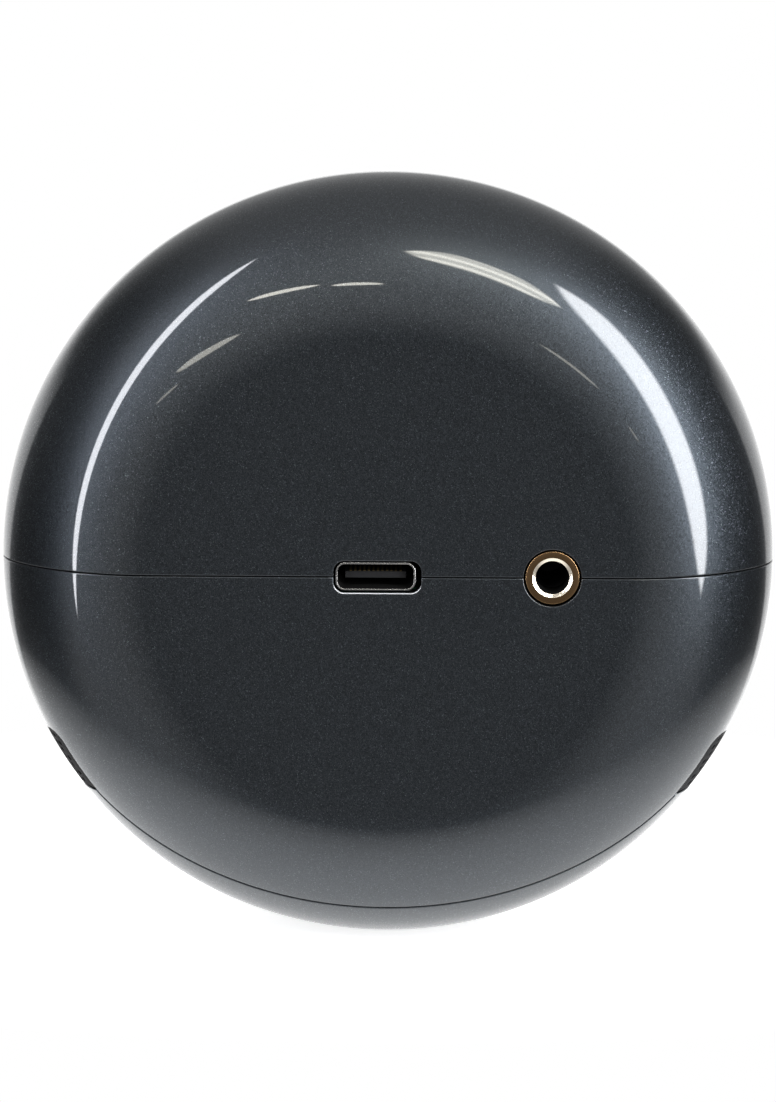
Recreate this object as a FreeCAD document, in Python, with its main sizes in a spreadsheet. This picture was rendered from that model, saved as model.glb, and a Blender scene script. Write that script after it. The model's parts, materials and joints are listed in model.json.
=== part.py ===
import FreeCAD, Part
import math
import os
import re

import Sketcher

# Round smart speaker that stands on its rim. X runs across, +Y is the flat back with the ports,
# -Y is the fabric front, +Z is up. Every form is drawn about the middle of the drum's widest
# circle, its equator. Each finished piece is then lifted by centre_height and moved back by
# equator_shift, so that the origin is under the middle of the whole speaker, where it stands.

SIZES = {
    # drum
    "body_radius": 43.5,
    "rear_depth": 13.0,
    "flat_radius": 26.5,
    "shoulder_turn": 50.0,
    "barrel_arc": 30.0,
    "taper": 7.5,
    "front_plane": 25.0,
    "wall": 2.0,
    "seam_gap": 0.1,
    "centre_height": 44.3,
    "equator_shift": 10.5,
    # bottom cover and side vents
    "cover_top": 26.2,
    "cover_rear": 8.5,
    "cover_arc": 160.0,
    "cover_gap": 0.12,
    "vent_top": 19.5,
    "vent_rear": 5.2,
    "vent_front": 15.0,
    "vent_corner": 1.5,
    "vent_tilt": 33.0,
    "vent_clearance": 0.1,
    "mesh_recess": 0.2,
    "mesh_sheet": 0.5,
    "mesh_hole": 0.6,
    "mesh_pitch": 1.8,
    "mesh_row_turn": 2.4,
    # foot
    "foot_centre": 12.5,
    "foot_half_width": 14.0,
    "foot_half_depth": 9.3,
    # ports
    "usb_offset": 1.35,
    "usb_cut_offset": 1.15,
    "usb_cut_width": 9.7,
    "usb_cut_height": 3.6,
    "usb_cut_corner": 1.2,
    "usb_width": 8.94,
    "usb_height": 3.26,
    "usb_corner": 1.1,
    "usb_plate": 0.3,
    "usb_length": 7.4,
    "usb_recess": 0.4,
    "tongue_width": 6.7,
    "tongue_height": 0.7,
    "jack_offset": 18.2,
    "jack_cut_radius": 3.2,
    "jack_radius": 3.0,
    "jack_bore": 1.8,
    "jack_chamfer": 0.4,
    "jack_recess": 0.2,
    "jack_collar": 3.8,
    "jack_depth": 14.4,
    "jack_box": 6.0,
    "tongue_length": 5.2,
    "contact_width": 0.25,
    "contact_length": 4.4,
    "contact_pitch": 0.5,
    # screw bosses
    "boss_reach": 34.3,
    "boss_radius": 2.3,
    "boss_length": 6.8,
    "boss_rib": 2.0,
    "seam_boss_side": 31.0,
    "seam_boss_depth": 6.5,
    "seam_boss_radius": 2.4,
    "seam_boss_rise": 12.0,
    "seam_boss_drop": 13.0,
    "seam_shank": 1.1,
    "seam_head": 1.9,
    "seam_head_height": 1.2,
    "cover_screw_side": 12.0,
    "cover_screw_depth": -8.0,
    "cover_screw_seat": 39.4,
    "cover_sink": 2.0,
    "screw_head": 1.7,
    "screw_head_height": 1.1,
    "screw_shank": 1.0,
    # boards
    "board_radius": 27.5,
    "board_front": 3.6,
    "board_sheet": 1.2,
    "board_clear": 4.2,
    "port_board_top": 1.65,
    "port_board_sheet": 1.0,
    "can_width": 20.0,
    "can_height": 14.0,
    "can_depth": 2.6,
    "can_sheet": 0.3,
    "capacitor_radius": 2.5,
    "capacitor_height": 6.5,
    "inductor_width": 5.0,
    "inductor_depth": 3.0,
    # front
    "bezel_gap": 0.2,
    "bezel_front": 29.6,
    "bezel_bore": 36.6,
    "ring_bore": 35.1,
    "grille_radius": 35.0,
    "grille_rise": 4.6,
    "grille_edge": 29.4,
    "fabric_sheet": 0.8,
    "grille_sheet": 1.6,
    "skirt_bore": 33.4,
    "skirt_rear": 26.7,
    "slot_pitch": 5.6,
    "slot_radius": 1.5,
    # light ring
    "led_board_bore": 31.6,
    "led_board_radius": 36.4,
    "led_board_front": 25.6,
    "led_board_sheet": 0.8,
    "led_size": 1.2,
    # baffle and acoustic chamber
    "baffle_bore": 25.0,
    "baffle_front": 22.8,
    "baffle_sheet": 2.0,
    "chamber_radius": 31.9,
    "chamber_wall": 1.2,
    "chamber_rear": 4.4,
    "duct_width": 8.0,
    "duct_depth": 9.0,
    "duct_wall": 1.0,
    "duct_reach": 38.8,
    "duct_start": 30.0,
    "duct_front": 15.0,
    "post_radius": 2.6,
    "wire_hole": 1.6,
    # driver
    "flange_front": 24.4,
    "flange_sheet": 1.2,
    "flange_radius": 27.4,
    "ear_radius": 28.4,
    "magnet_radius": 15.5,
    "magnet_front": 11.9,
    "magnet_rear": 8.1,
    "plate_radius": 14.5,
    "plate_front": 14.4,
    "yoke_rear": 6.1,
    "basket_mouth": 23.2,
    "basket_throat": 16.4,
    "basket_neck": 9.6,
    "basket_sheet": 1.2,
    "cone_lip": 20.5,
    "cone_land": 19.2,
    "cone_neck": 18.5,
    "cone_sheet": 0.3,
    "cap_radius": 7.7,
    "cap_rise": 2.05,
    "spider_rear": 15.9,
    "spider_sheet": 0.3,
    "spider_wave": 0.35,
    "spider_pitch": 1.2,
    "pole_radius": 6.1,
    "gap_radius": 7.2,
    "coil_bore": 6.45,
    "coil_wall": 0.15,
    "winding": 0.22,
    "roll_radius": 1.55,
    "roll_centre": 22.05,
    "roll_sheet": 0.3,
    # buttons
    "button_radius": 3.9,
    "button_clearance": 0.3,
    "button_pitch": 16.0,
    "button_depth": 13.0,
    "button_flange": 4.7,
    "button_stem": 1.3,
    "flex_radius": 35.6,
    "flex_sheet": 0.6,
    "mic_hole": 0.5,
}

# The two ways an upright form can point: back along the drum's centre line, or up.
ALONG_Y = FreeCAD.Rotation(FreeCAD.Vector(1, 0, 0), -90)
ALONG_Z = FreeCAD.Rotation()

doc = FreeCAD.newDocument("SmartSpeaker")
sheet = doc.addObject("Spreadsheet::Sheet", "Sizes")
for row, (alias, size) in enumerate(SIZES.items(), start=1):
    sheet.set(f"A{row}", alias)
    sheet.set(f"B{row}", str(size))
    sheet.setAlias(f"B{row}", alias)
doc.recompute()

nodes = []


# ---------------------------------------------------------------- helpers

def cells(text):
    """Point each size named in a formula at its cell."""
    return re.sub(r"[a-z_]+", lambda word: "Sizes." * (word.group() in SIZES) + word.group(), str(text))


def number(text):
    result = sheet.evalExpression(cells(text))
    return float(getattr(result, "Value", result))


def bind(item, prop, text):
    item.setExpression(prop, cells(text))


def put(item, x, y, z, rotation=ALONG_Z):
    """Place an object by formulas, about the drum's centre."""
    item.Placement = FreeCAD.Placement(FreeCAD.Vector(number(x), number(y), number(z)), rotation)
    for axis, text in zip("xyz", (x, y, z)):
        bind(item, f"Placement.Base.{axis}", text)
    return item


def node(label, item):
    """Name a finished piece, and move it from the drum's own axes to the speaker's."""
    item.Label = label
    local = {path.strip("."): text for path, text in item.ExpressionEngine}
    for axis, shift in (("y", "equator_shift"), ("z", "centre_height")):
        path = f"Placement.Base.{axis}"
        item.setExpression(path, f"({local.get(path, '0')}) + Sizes.{shift}")
    nodes.append(item)
    return item


def origin_plane(body, role):
    return next(feature for feature in body.Origin.OriginFeatures if feature.Role == role)


def arc_between(start, end, radius, side):
    """The short arc from start to end, with its middle on the left (1) or right (-1) of the chord."""
    chord = end - start
    rise = math.sqrt(max(radius**2 - (chord.Length / 2) ** 2, 0))
    across = FreeCAD.Vector(-chord.y, chord.x, 0).normalize()
    centre = (start + end) / 2 - across * rise * side
    angles = [math.atan2(point.y - centre.y, point.x - centre.x) for point in (start, end)]
    if side > 0:
        angles.reverse()
    return Part.ArcOfCircle(Part.Circle(centre, FreeCAD.Vector(0, 0, 1), radius), *angles)


def outline_sketch(body, role, corners, arcs=None):
    """A closed outline whose corners and radii are formulas; arcs maps an edge to (radius, side)."""
    sketch = body.newObject("Sketcher::SketchObject", body.Name + "_outline")
    sketch.AttachmentSupport = [(origin_plane(body, role), "")]
    sketch.MapMode = "FlatFace"
    points = [FreeCAD.Vector(number(x), number(y), 0) for x, y in corners]
    arcs = arcs or {}
    first_end = []
    for edge, start in enumerate(points):
        end = points[(edge + 1) % len(points)]
        if edge in arcs:
            radius, side = arcs[edge]
            sketch.addGeometry(arc_between(start, end, number(radius), side), False)
            first_end.append(2 if side > 0 else 1)
        else:
            sketch.addGeometry(Part.LineSegment(start, end), False)
            first_end.append(1)
    for edge, start in enumerate(points):
        follower = (edge + 1) % len(points)
        last_end = 3 - first_end[edge]
        meet = Sketcher.Constraint("Coincident", edge, last_end, follower, first_end[follower])
        sketch.addConstraint(meet)
        for kind, distance, text in (("DistanceX", start.x, corners[edge][0]),
                                     ("DistanceY", start.y, corners[edge][1])):
            index = sketch.addConstraint(Sketcher.Constraint(kind, edge, first_end[edge], distance))
            bind(sketch, f"Constraints[{index}]", text)
        if edge in arcs:
            index = sketch.addConstraint(Sketcher.Constraint("Radius", edge, number(arcs[edge][0])))
            bind(sketch, f"Constraints[{index}]", arcs[edge][0])
    return sketch


def turned(name, corners, arcs=None):
    """A body turned about its own Y axis; corners are (radius, depth)."""
    body = doc.addObject("PartDesign::Body", name)
    sketch = outline_sketch(body, "XY_Plane", corners, arcs)
    revolution = body.newObject("PartDesign::Revolution", name + "_turned")
    revolution.Profile = sketch
    revolution.ReferenceAxis = (sketch, ["V_Axis"])
    revolution.Angle = 360
    sketch.Visibility = False
    return body


def padded(name, role, corners, length, arcs=None, reverse=False):
    """A body padded from an outline on one of its origin planes."""
    body = doc.addObject("PartDesign::Body", name)
    sketch = outline_sketch(body, role, corners, arcs)
    pad = body.newObject("PartDesign::Pad", name + "_pad")
    pad.Profile = sketch
    pad.Reversed = reverse
    bind(pad, "Length", length)
    return body


def ring(name, bore, radius, front, rear):
    """A plain ring between two depths; front and rear are distances in front of the equator."""
    corners = [(bore, f"-({front})"), (radius, f"-({front})"), (radius, f"-({rear})"), (bore, f"-({rear})")]
    return turned(name, corners)


def cylinder(name, radius, length, x, y, z, rotation=ALONG_Y):
    item = doc.addObject("Part::Cylinder", name)
    bind(item, "Radius", radius)
    bind(item, "Height", length)
    return put(item, x, y, z, rotation)


def box(name, width, depth, height, x, y, z, rotation=ALONG_Z):
    item = doc.addObject("Part::Box", name)
    for prop, text in (("Length", width), ("Width", depth), ("Height", height)):
        bind(item, prop, text)
    return put(item, x, y, z, rotation)


def centred_box(name, width, depth, height, x, y, z):
    """A box about x, with its near corner at y and z."""
    return box(name, width, depth, height, f"({x}) - ({width}) / 2", y, z)


def radial(angle):
    """Turns +Z towards +X, about the drum's centre line."""
    return FreeCAD.Rotation(FreeCAD.Vector(0, 1, 0), number(angle))


def radial_box(name, width, depth, height, angle, reach, y):
    """A box that stands on a radius of the drum, starting at reach."""
    return box(name, width, depth, height,
               f"({reach}) * sin({angle}) - ({width}) / 2 * cos({angle})", y,
               f"({reach}) * cos({angle}) + ({width}) / 2 * sin({angle})", radial(angle))


def radial_cylinder(name, radius, height, angle, reach, y):
    return cylinder(name, radius, height, f"({reach}) * sin({angle})", y,
                    f"({reach}) * cos({angle})", radial(angle))


def fuse(name, *items):
    item = doc.addObject("Part::MultiFuse", name)
    item.Shapes = list(items)
    return item


def common(name, *items):
    item = doc.addObject("Part::MultiCommon", name)
    item.Shapes = list(items)
    return item


def cut(name, base, *tools):
    item = doc.addObject("Part::Cut", name)
    item.Base = base
    item.Tool = tools[0] if len(tools) == 1 else fuse(name + "_tools", *tools)
    return item


def group(name, items):
    """Identical loose pieces, kept as separate solids in one node."""
    item = doc.addObject("Part::Compound", name)
    item.Links = list(items)
    return item


# ---------------------------------------------------------------- drum forms

SHOULDER_WIDTH = "(body_radius - flat_radius)"
TURN_SIN = "sin(shoulder_turn)"
TURN_COS = "cos(shoulder_turn)"
SHARE = f"({TURN_SIN} * {TURN_COS} - (1 - {TURN_SIN}) * (1 - {TURN_COS}))"
BROAD_ARC = f"(({SHOULDER_WIDTH} * {TURN_COS} - (1 - {TURN_SIN}) * rear_depth) / {SHARE})"
TIGHT_ARC = f"(({TURN_SIN} * rear_depth - (1 - {TURN_COS}) * {SHOULDER_WIDTH}) / {SHARE})"


def barrel_radius(offset, depth):
    """Radius of the tapered barrel, measured inwards by offset, at a distance before the equator."""
    arc = f"(barrel_arc - ({offset}))"
    return (f"(body_radius - barrel_arc + {arc} * cos(taper)"
            f" - (({depth}) - {arc} * sin(taper)) * tan(taper))")


def drum(name, offset, front):
    """The drum's outside, moved inwards by offset: flat back, two-arc shoulder, tapered barrel."""
    arc = f"(barrel_arc - ({offset}))"
    broad = f"({BROAD_ARC} - ({offset}))"
    tight = f"({TIGHT_ARC} - ({offset}))"
    corners = [
        ("0", f"rear_depth - ({offset})"),
        ("flat_radius", f"rear_depth - ({offset})"),
        (f"flat_radius + {broad} * {TURN_SIN}", f"rear_depth - {BROAD_ARC} + {broad} * {TURN_COS}"),
        (f"body_radius - ({offset})", "0"),
        (f"body_radius - barrel_arc + {arc} * cos(taper)", f"-{arc} * sin(taper)"),
        (barrel_radius(offset, front), f"-({front})"),
        ("0", f"-({front})"),
    ]
    return turned(name, corners, {1: (broad, 1), 2: (tight, 1), 3: (arc, 1)})


outer_form = drum("outer_form", "0", "front_plane")
hollow_form = drum("hollow_form", "wall", "front_plane + 1")
rib_form = drum("rib_form", "wall / 2", "front_plane - 2")
flange_form = drum("flange_form", "wall + mesh_sheet", "front_plane + 1")
panel_form = drum("panel_form", "mesh_recess", "front_plane - 1")
recess_form = drum("recess_form", "mesh_recess + mesh_sheet", "front_plane - 1")
skin_form = cut("skin_form", outer_form, hollow_form)


def mirrored(angle):
    return (angle, f"-({angle})")


# ---------------------------------------------------------------- cutters shared by both shells

def sphere(reach, rise):
    """Radius of the sphere whose cap has this half-width and height."""
    return f"((({reach})^2 + ({rise})^2) / (2 * ({rise})))"


def usb_prism(name, middle, width, height, corner, length, rear):
    """A bar along Y with rounded edges that ends at a depth behind the equator."""
    front = f"({rear}) - ({length})"
    wide = centred_box(f"{name}_wide", width, length, f"({height}) - 2 * ({corner})", middle, front,
                       f"({corner}) - ({height}) / 2")
    tall = centred_box(f"{name}_tall", f"({width}) - 2 * ({corner})", length, height, middle, front,
                       f"-({height}) / 2")
    edges = [cylinder(f"{name}_edge", corner, length,
                      f"{middle} + {across} * (({width}) / 2 - ({corner}))", front,
                      f"{up} * (({height}) / 2 - ({corner}))")
             for across in (-1, 1) for up in (-1, 1)]
    return fuse(name, wide, tall, *edges)


usb_cutter = usb_prism("usb_cutter", "usb_cut_offset", "usb_cut_width", "usb_cut_height",
                       "usb_cut_corner", "2 * wall", "rear_depth + 1")
jack_cutter = cylinder("jack_cutter", "jack_cut_radius", "2 * wall", "-jack_offset",
                       "rear_depth - 1.5 * wall", "0")
BUTTON_ANGLES = [f"{step} * button_pitch" for step in (-1.5, -0.5, 0.5, 1.5)]
MIC_ANGLES = ["-button_pitch", "button_pitch"]
button_cutters = [
    radial_cylinder(f"button_cutter_{index}", "button_radius + button_clearance", "8", angle,
                    "body_radius - 6", "-button_depth")
    for index, angle in enumerate(BUTTON_ANGLES)
]
mic_cutters = [
    radial_cylinder(f"mic_cutter_{index}", "mic_hole", "8", angle, "body_radius - 6", "-button_depth")
    for index, angle in enumerate(MIC_ANGLES)
]

TOP_BOSS_ANGLES = mirrored("45")
LOW_BOSS_ANGLES = mirrored("108")
BOSS_FRONT = "(baffle_front - baffle_sheet)"


def baffle_boss(angle, tag):
    """A screw boss along Y, tied to the wall by a rib."""
    post = cylinder(f"boss_{tag}", "boss_radius", "boss_length", f"boss_reach * sin({angle})",
                    f"-{BOSS_FRONT}", f"boss_reach * cos({angle})")
    rib = radial_box(f"boss_rib_{tag}", "boss_rib", "boss_length", "6", angle,
                     "boss_reach + boss_radius / 2", f"-{BOSS_FRONT}")
    return [post, rib]


def boss_hole(angle, tag):
    return cylinder(f"boss_hole_{tag}", "screw_shank", "boss_length - 0.8", f"boss_reach * sin({angle})",
                    f"-{BOSS_FRONT} - 1", f"boss_reach * cos({angle})")


def seam_boss(side, bottom, height, tag):
    """An upright boss near the back that ties the two shells together."""
    post = cylinder(f"seam_boss_{tag}", "seam_boss_radius", height, f"{side} * seam_boss_side",
                    "seam_boss_depth", bottom, ALONG_Z)
    rib = centred_box(f"seam_rib_{tag}", "8", "1.8", height, f"{side} * (seam_boss_side + 4)",
                      "seam_boss_depth - 0.9", bottom)
    return [post, rib]


def seam_bore(name, length, bottom):
    """The two screw holes that run up through the seam bosses."""
    return [cylinder(f"{name}_{side}", "seam_shank", length, f"{side} * seam_boss_side", "seam_boss_depth",
                     bottom, ALONG_Z) for side in (-1, 1)]


# ---------------------------------------------------------------- casing

def top_shell():
    half = box("top_half", "120", "60", "60", "-60", "-35", "seam_gap / 2")
    inside = []
    for tag, angle in enumerate(TOP_BOSS_ANGLES):
        inside += baffle_boss(angle, f"top_{tag}")
    for tag, side in enumerate((-1, 1)):
        inside += seam_boss(side, "seam_gap / 2", "seam_boss_rise", f"top_{tag}")
    ribs = common("top_ribs", rib_form, fuse("top_rib_set", *inside))
    body = fuse("top_body", common("top_skin", skin_form, half), ribs)
    holes = [boss_hole(angle, f"top_{tag}") for tag, angle in enumerate(TOP_BOSS_ANGLES)]
    holes += seam_bore("seam_hole_top", "9", "-1")
    return cut("top_cut", body, usb_cutter, jack_cutter, *button_cutters, *mic_cutters, *holes)


def cover_prism(name, gap):
    """Upright block that marks out the bottom cover; its rear edge is a wide arc."""
    reach = "44"
    sag = f"(cover_arc - sqrt(cover_arc^2 - {reach}^2))"
    rear = f"(cover_rear - ({gap}))"
    corners = [(reach, "-(front_plane + 1)"), (reach, f"{rear} - {sag}"),
               (f"-{reach}", f"{rear} - {sag}"), (f"-{reach}", "-(front_plane + 1)")]
    body = padded(name, "XY_Plane", corners, f"30 - ({gap})", {1: ("cover_arc", -1)})
    return put(body, "0", "0", "-cover_top - 30")


def vent_block(name, side, inset, bottom):
    """Block through the opening at one side, drawn inwards by inset, with two rounded upper corners."""
    front = f"(({inset}) - vent_front)"
    rear = f"(vent_rear - ({inset}))"
    top = f"(-vent_top - ({inset}))"
    shoulder = f"{top} - vent_corner"
    corners = [(front, bottom), (rear, bottom), (rear, shoulder), (f"{rear} - vent_corner", top),
               (f"{front} + vent_corner", top), (front, shoulder)]
    arcs = {2: ("vent_corner", -1), 4: ("vent_corner", -1)}
    block = padded(name, "YZ_Plane", corners, "14", arcs)
    return put(block, "32" if side > 0 else "-46", "0", "0")


def bottom_shell():
    half = box("bottom_half", "120", "60", "60", "-60", "-35", "-60 - seam_gap / 2")
    inside = []
    for tag, angle in enumerate(LOW_BOSS_ANGLES):
        inside += baffle_boss(angle, f"low_{tag}")
    for tag, side in enumerate((-1, 1)):
        inside += seam_boss(side, "-seam_boss_drop", "seam_boss_drop - seam_gap / 2", f"low_{tag}")
    ribs = common("low_ribs", rib_form, fuse("low_rib_set", *inside))
    body = fuse("low_body", common("low_skin", skin_form, half), ribs)
    holes = [boss_hole(angle, f"low_{tag}") for tag, angle in enumerate(LOW_BOSS_ANGLES)]
    holes += seam_bore("seam_hole_low", "seam_boss_drop + 1", "-seam_boss_drop - 0.5")
    hatch = cover_prism("hatch_prism", "0")
    vents = [vent_block(f"vent_{tag}", side, "0", "-cover_top - 1")
             for tag, side in (("left", -1), ("right", 1))]
    return cut("low_cut", body, usb_cutter, jack_cutter, hatch, *vents, *holes)


def bottom_cover():
    plate = common("cover_plate", skin_form, cover_prism("cover_form", "cover_gap"))
    holes = []
    for side in (-1, 1):
        x = f"{side} * cover_screw_side"
        holes.append(cylinder(f"cover_hole_{side}", "screw_shank", "12", x, "cover_screw_depth",
                              "-body_radius - 0.5", ALONG_Z))
        holes.append(cylinder(f"cover_sink_{side}", "cover_sink", "5", x, "cover_screw_depth",
                              "-cover_screw_seat - 5", ALONG_Z))
    return cut("cover_cut", plate, *holes)


def rubber_foot():
    """Oval pad whose top follows the bottom cover."""
    pad = doc.addObject("Part::Ellipse", "foot_outline")
    bind(pad, "MajorRadius", "foot_half_width")
    bind(pad, "MinorRadius", "foot_half_depth")
    block = doc.addObject("Part::Extrusion", "foot_block")
    block.Base = pad
    block.DirMode = "Custom"
    block.Dir = FreeCAD.Vector(0, 0, 1)
    block.Solid = True
    bind(block, "LengthFwd", "12")
    put(block, "0", "-foot_centre", "-centre_height")
    return cut("foot_cut", block, outer_form)


def cover_screw(side):
    x = f"{side} * cover_screw_side"
    head = cylinder(f"cover_screw_head_{side}", "screw_head", "0.8", x, "cover_screw_depth",
                    "-cover_screw_seat - 0.8", ALONG_Z)
    shank = cylinder(f"cover_screw_shank_{side}", "screw_shank", "6", x, "cover_screw_depth",
                     "-cover_screw_seat", ALONG_Z)
    return fuse(f"cover_screw_{side}", head, shank)


def seam_screw(side):
    place = (f"{side} * seam_boss_side", "seam_boss_depth")
    head = cylinder(f"seam_screw_head_{side}", "seam_head", "seam_head_height", *place,
                    "-seam_boss_drop - seam_head_height", ALONG_Z)
    shank = cylinder(f"seam_screw_shank_{side}", "seam_shank", "20", *place, "-seam_boss_drop", ALONG_Z)
    return fuse(f"seam_screw_{side}", head, shank)


def vent_mesh(label, side):
    """Pressed tray whose perforated panel fills a side opening; its flange lies against the wall."""
    inner = "vent_clearance + mesh_sheet"
    outside = vent_block(f"{label}_outside", side, "vent_clearance", "vent_clearance - cover_top")
    inside = vent_block(f"{label}_inside", side, inner, f"{inner} - cover_top")
    panel = cut(f"{label}_panel", panel_form, flange_form)
    tray = cut(f"{label}_tray", common(f"{label}_block", panel, outside),
               common(f"{label}_room", recess_form, inside))
    border = box(f"{label}_border", "18", "vent_rear + vent_front + 2", "cover_top - vent_top + 2",
                 "26" if side > 0 else "-44", "-vent_front - 1", "-cover_top - 1")
    sheet_form = cut(f"{label}_sheet", hollow_form, flange_form)
    flange = cut(f"{label}_flange", common(f"{label}_plate", sheet_form, border), inside)
    holes = []
    for line in (-1, 0, 1):
        angle = f"{side} * (90 + vent_tilt + {line} * mesh_row_turn)"
        for step in range(10):
            holes.append(radial_cylinder(f"{label}_hole", "mesh_hole", "10", angle, "35",
                                         f"{step} * mesh_pitch - vent_front + 1.6"))
    return cut(f"{label}_cut", fuse(f"{label}_body", tray, flange), *holes)


node("top_shell", top_shell())
node("bottom_shell", bottom_shell())
node("bottom_cover", bottom_cover())
node("rubber_foot", rubber_foot())
node("cover_screws", group("cover_screw_set", [cover_screw(-1), cover_screw(1)]))
node("shell_screws", group("seam_screw_set", [seam_screw(-1), seam_screw(1)]))
node("side_vent_mesh_left", vent_mesh("mesh_left", -1))
node("side_vent_mesh_right", vent_mesh("mesh_right", 1))


# ---------------------------------------------------------------- ports

def usb_shell():
    outside = usb_prism("usb_outside", "usb_offset", "usb_width", "usb_height", "usb_corner",
                        "usb_length", "rear_depth - usb_recess")
    inside = usb_prism("usb_inside", "usb_offset", "usb_width - 2 * usb_plate",
                       "usb_height - 2 * usb_plate", "usb_corner - usb_plate", "usb_length",
                       "rear_depth - usb_recess + 0.5")
    return cut("usb_shell_cut", outside, inside)


USB_BACK = "(rear_depth - usb_recess - usb_length)"
CONTACT_SHEET = "0.05"


def usb_tongue():
    base = centred_box("tongue_base", "6.8", "0.5", "2.4", "usb_offset", f"{USB_BACK} + 0.5", "-1.2")
    blade = centred_box("tongue_blade", "tongue_width", "tongue_length", "tongue_height", "usb_offset",
                        f"{USB_BACK} + 1", "-tongue_height / 2")
    return fuse("tongue_fuse", base, blade)


def usb_contacts():
    """Twelve plated strips on each face of the tongue."""
    strips = []
    for face, bottom in (("up", "tongue_height / 2"), ("down", f"-tongue_height / 2 - {CONTACT_SHEET}")):
        for index in range(12):
            strips.append(centred_box(f"contact_{face}", "contact_width", "contact_length", CONTACT_SHEET,
                                      f"usb_offset + {index - 5.5} * contact_pitch", f"{USB_BACK} + 1.5",
                                      bottom))
    return group("contact_set", strips)


JACK_MOUTH = "(rear_depth - jack_recess)"


def jack_barrel():
    """Plated collar with a chamfered mouth, turned about its own axis."""
    corners = [("jack_bore", "0"), ("jack_radius", "0"), ("jack_radius", "jack_collar"),
               ("jack_bore + jack_chamfer", "jack_collar"), ("jack_bore", "jack_collar - jack_chamfer")]
    return put(turned("jack_collar_form", corners), "-jack_offset", f"{JACK_MOUTH} - jack_collar", "0")


def jack_housing():
    block = centred_box("jack_block", "jack_box", "jack_depth - jack_collar", "jack_box", "-jack_offset",
                        f"{JACK_MOUTH} - jack_depth", "-jack_box / 2")
    bore = cylinder("jack_bore_cut", "jack_bore", "jack_depth", "-jack_offset",
                    f"{JACK_MOUTH} - jack_depth + 1.2", "0")
    return cut("jack_housing_cut", block, bore)


def jack_springs():
    """Four bent contact tabs that leave the housing's underside for the board."""
    tabs = []
    for x_side in (-1, 1):
        for step in (1.5, 6.5):
            tabs.append(centred_box("jack_tab", "0.5", "1.4", "1.2", f"-jack_offset + {x_side} * 3.3",
                                    f"{JACK_MOUTH} - jack_depth + {step}", "-port_board_top"))
    return group("jack_tab_set", tabs)


def port_board():
    """Flat board with a notch that the jack sinks into."""
    near, far = (f"{side} * (jack_box / 2 + 0.2) - jack_offset" for side in (1, -1))
    corners = [("8", "2.4"), ("8", "10.6"), (near, "10.6"), (near, "-2"), (far, "-2"), (far, "10.6"),
               ("-25", "10.6"), ("-25", "-3.4"), ("-12.6", "-3.4"), ("-12.6", "2.4")]
    board = padded("port_board", "XY_Plane", corners, "port_board_sheet")
    return put(board, "0", "0", "-port_board_top - port_board_sheet")


node("usb_c_shell", usb_shell())
node("usb_c_tongue", usb_tongue())
node("usb_c_contacts", usb_contacts())
node("jack_barrel", jack_barrel())
node("jack_housing", jack_housing())
node("jack_contacts", jack_springs())
node("port_board", port_board())


# ---------------------------------------------------------------- electronics behind the chamber

def half_disc_board(name, upward):
    """A board shaped like a slice of a disc, above or below the port board."""
    disc = cylinder(f"{name}_disc", "board_radius", "board_sheet", "0", "-board_front", "0")
    height = "60"
    bottom = "board_clear" if upward else f"-board_clear - {height}"
    keep = box(f"{name}_keep", "80", "10", height, "-40", "-board_front - 2", bottom)
    return common(f"{name}_board", disc, keep)


BOARD_REAR = "(board_sheet - board_front)"


def chip(name, width, thickness, height, x, z):
    return centred_box(name, width, thickness, height, x, BOARD_REAR, z)


def shield_can():
    outside = chip("can_outside", "can_width", "can_depth", "can_height", "-4", "8")
    inside = chip("can_inside", "can_width - 2 * can_sheet", "can_depth - can_sheet",
                  "can_height - 2 * can_sheet", "-4", "8 + can_sheet")
    return cut("can_cut", outside, inside)


def capacitors():
    """Upright cans on the power board."""
    return [cylinder("capacitor", "capacitor_radius", "capacitor_height", x, BOARD_REAR, "-19")
            for x in ("3", "9.5", "16")]


def inductors():
    return [chip("inductor", "inductor_width", "inductor_depth", "inductor_width", x, "-12.5")
            for x in ("-17", "5", "12")]


def small_parts():
    """Two rows of small chip components beside the shield can."""
    return [chip("small_part", "1", "0.5", "0.6", f"{-14 + 2.2 * step}", z)
            for z in ("24", "5.6") for step in range(10)]


node("main_board", half_disc_board("main", True))
node("power_board", half_disc_board("power", False))
node("shield_can", shield_can())
node("processor", chip("processor_chip", "9", "1.1", "9", "-7", "10.5"))
node("memory_chip", chip("memory_chip_block", "6", "1", "8", "1.5", "11"))
node("wireless_module", chip("wireless_block", "9", "1.8", "11", "13", "9"))
node("amplifier_chip", chip("amplifier_block", "7", "1", "7", "-4", "-16.5"))
node("capacitors", group("capacitor_set", capacitors()))
node("inductors", group("inductor_set", inductors()))
node("chip_components", group("small_part_set", small_parts()))
node("antenna", box("antenna_patch", "12", "0.2", "8", "4", "rear_depth - wall - 0.2", "12"))
node("board_connector", centred_box("connector_block", "12", "2.6", "5.4", "-4", BOARD_REAR, "-8.2"))


# ---------------------------------------------------------------- acoustic chamber and baffle

def ducts(name, width, depth, reach, length):
    """A block along each vent's direction, from the chamber wall to the vent mesh."""
    return [radial_box(f"{name}_{tag}", width, depth, length, f"{side} * (90 + vent_tilt)", reach,
                       f"(duct_depth - ({depth})) / 2 - duct_front")
            for tag, side in (("left", -1), ("right", 1))]


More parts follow.
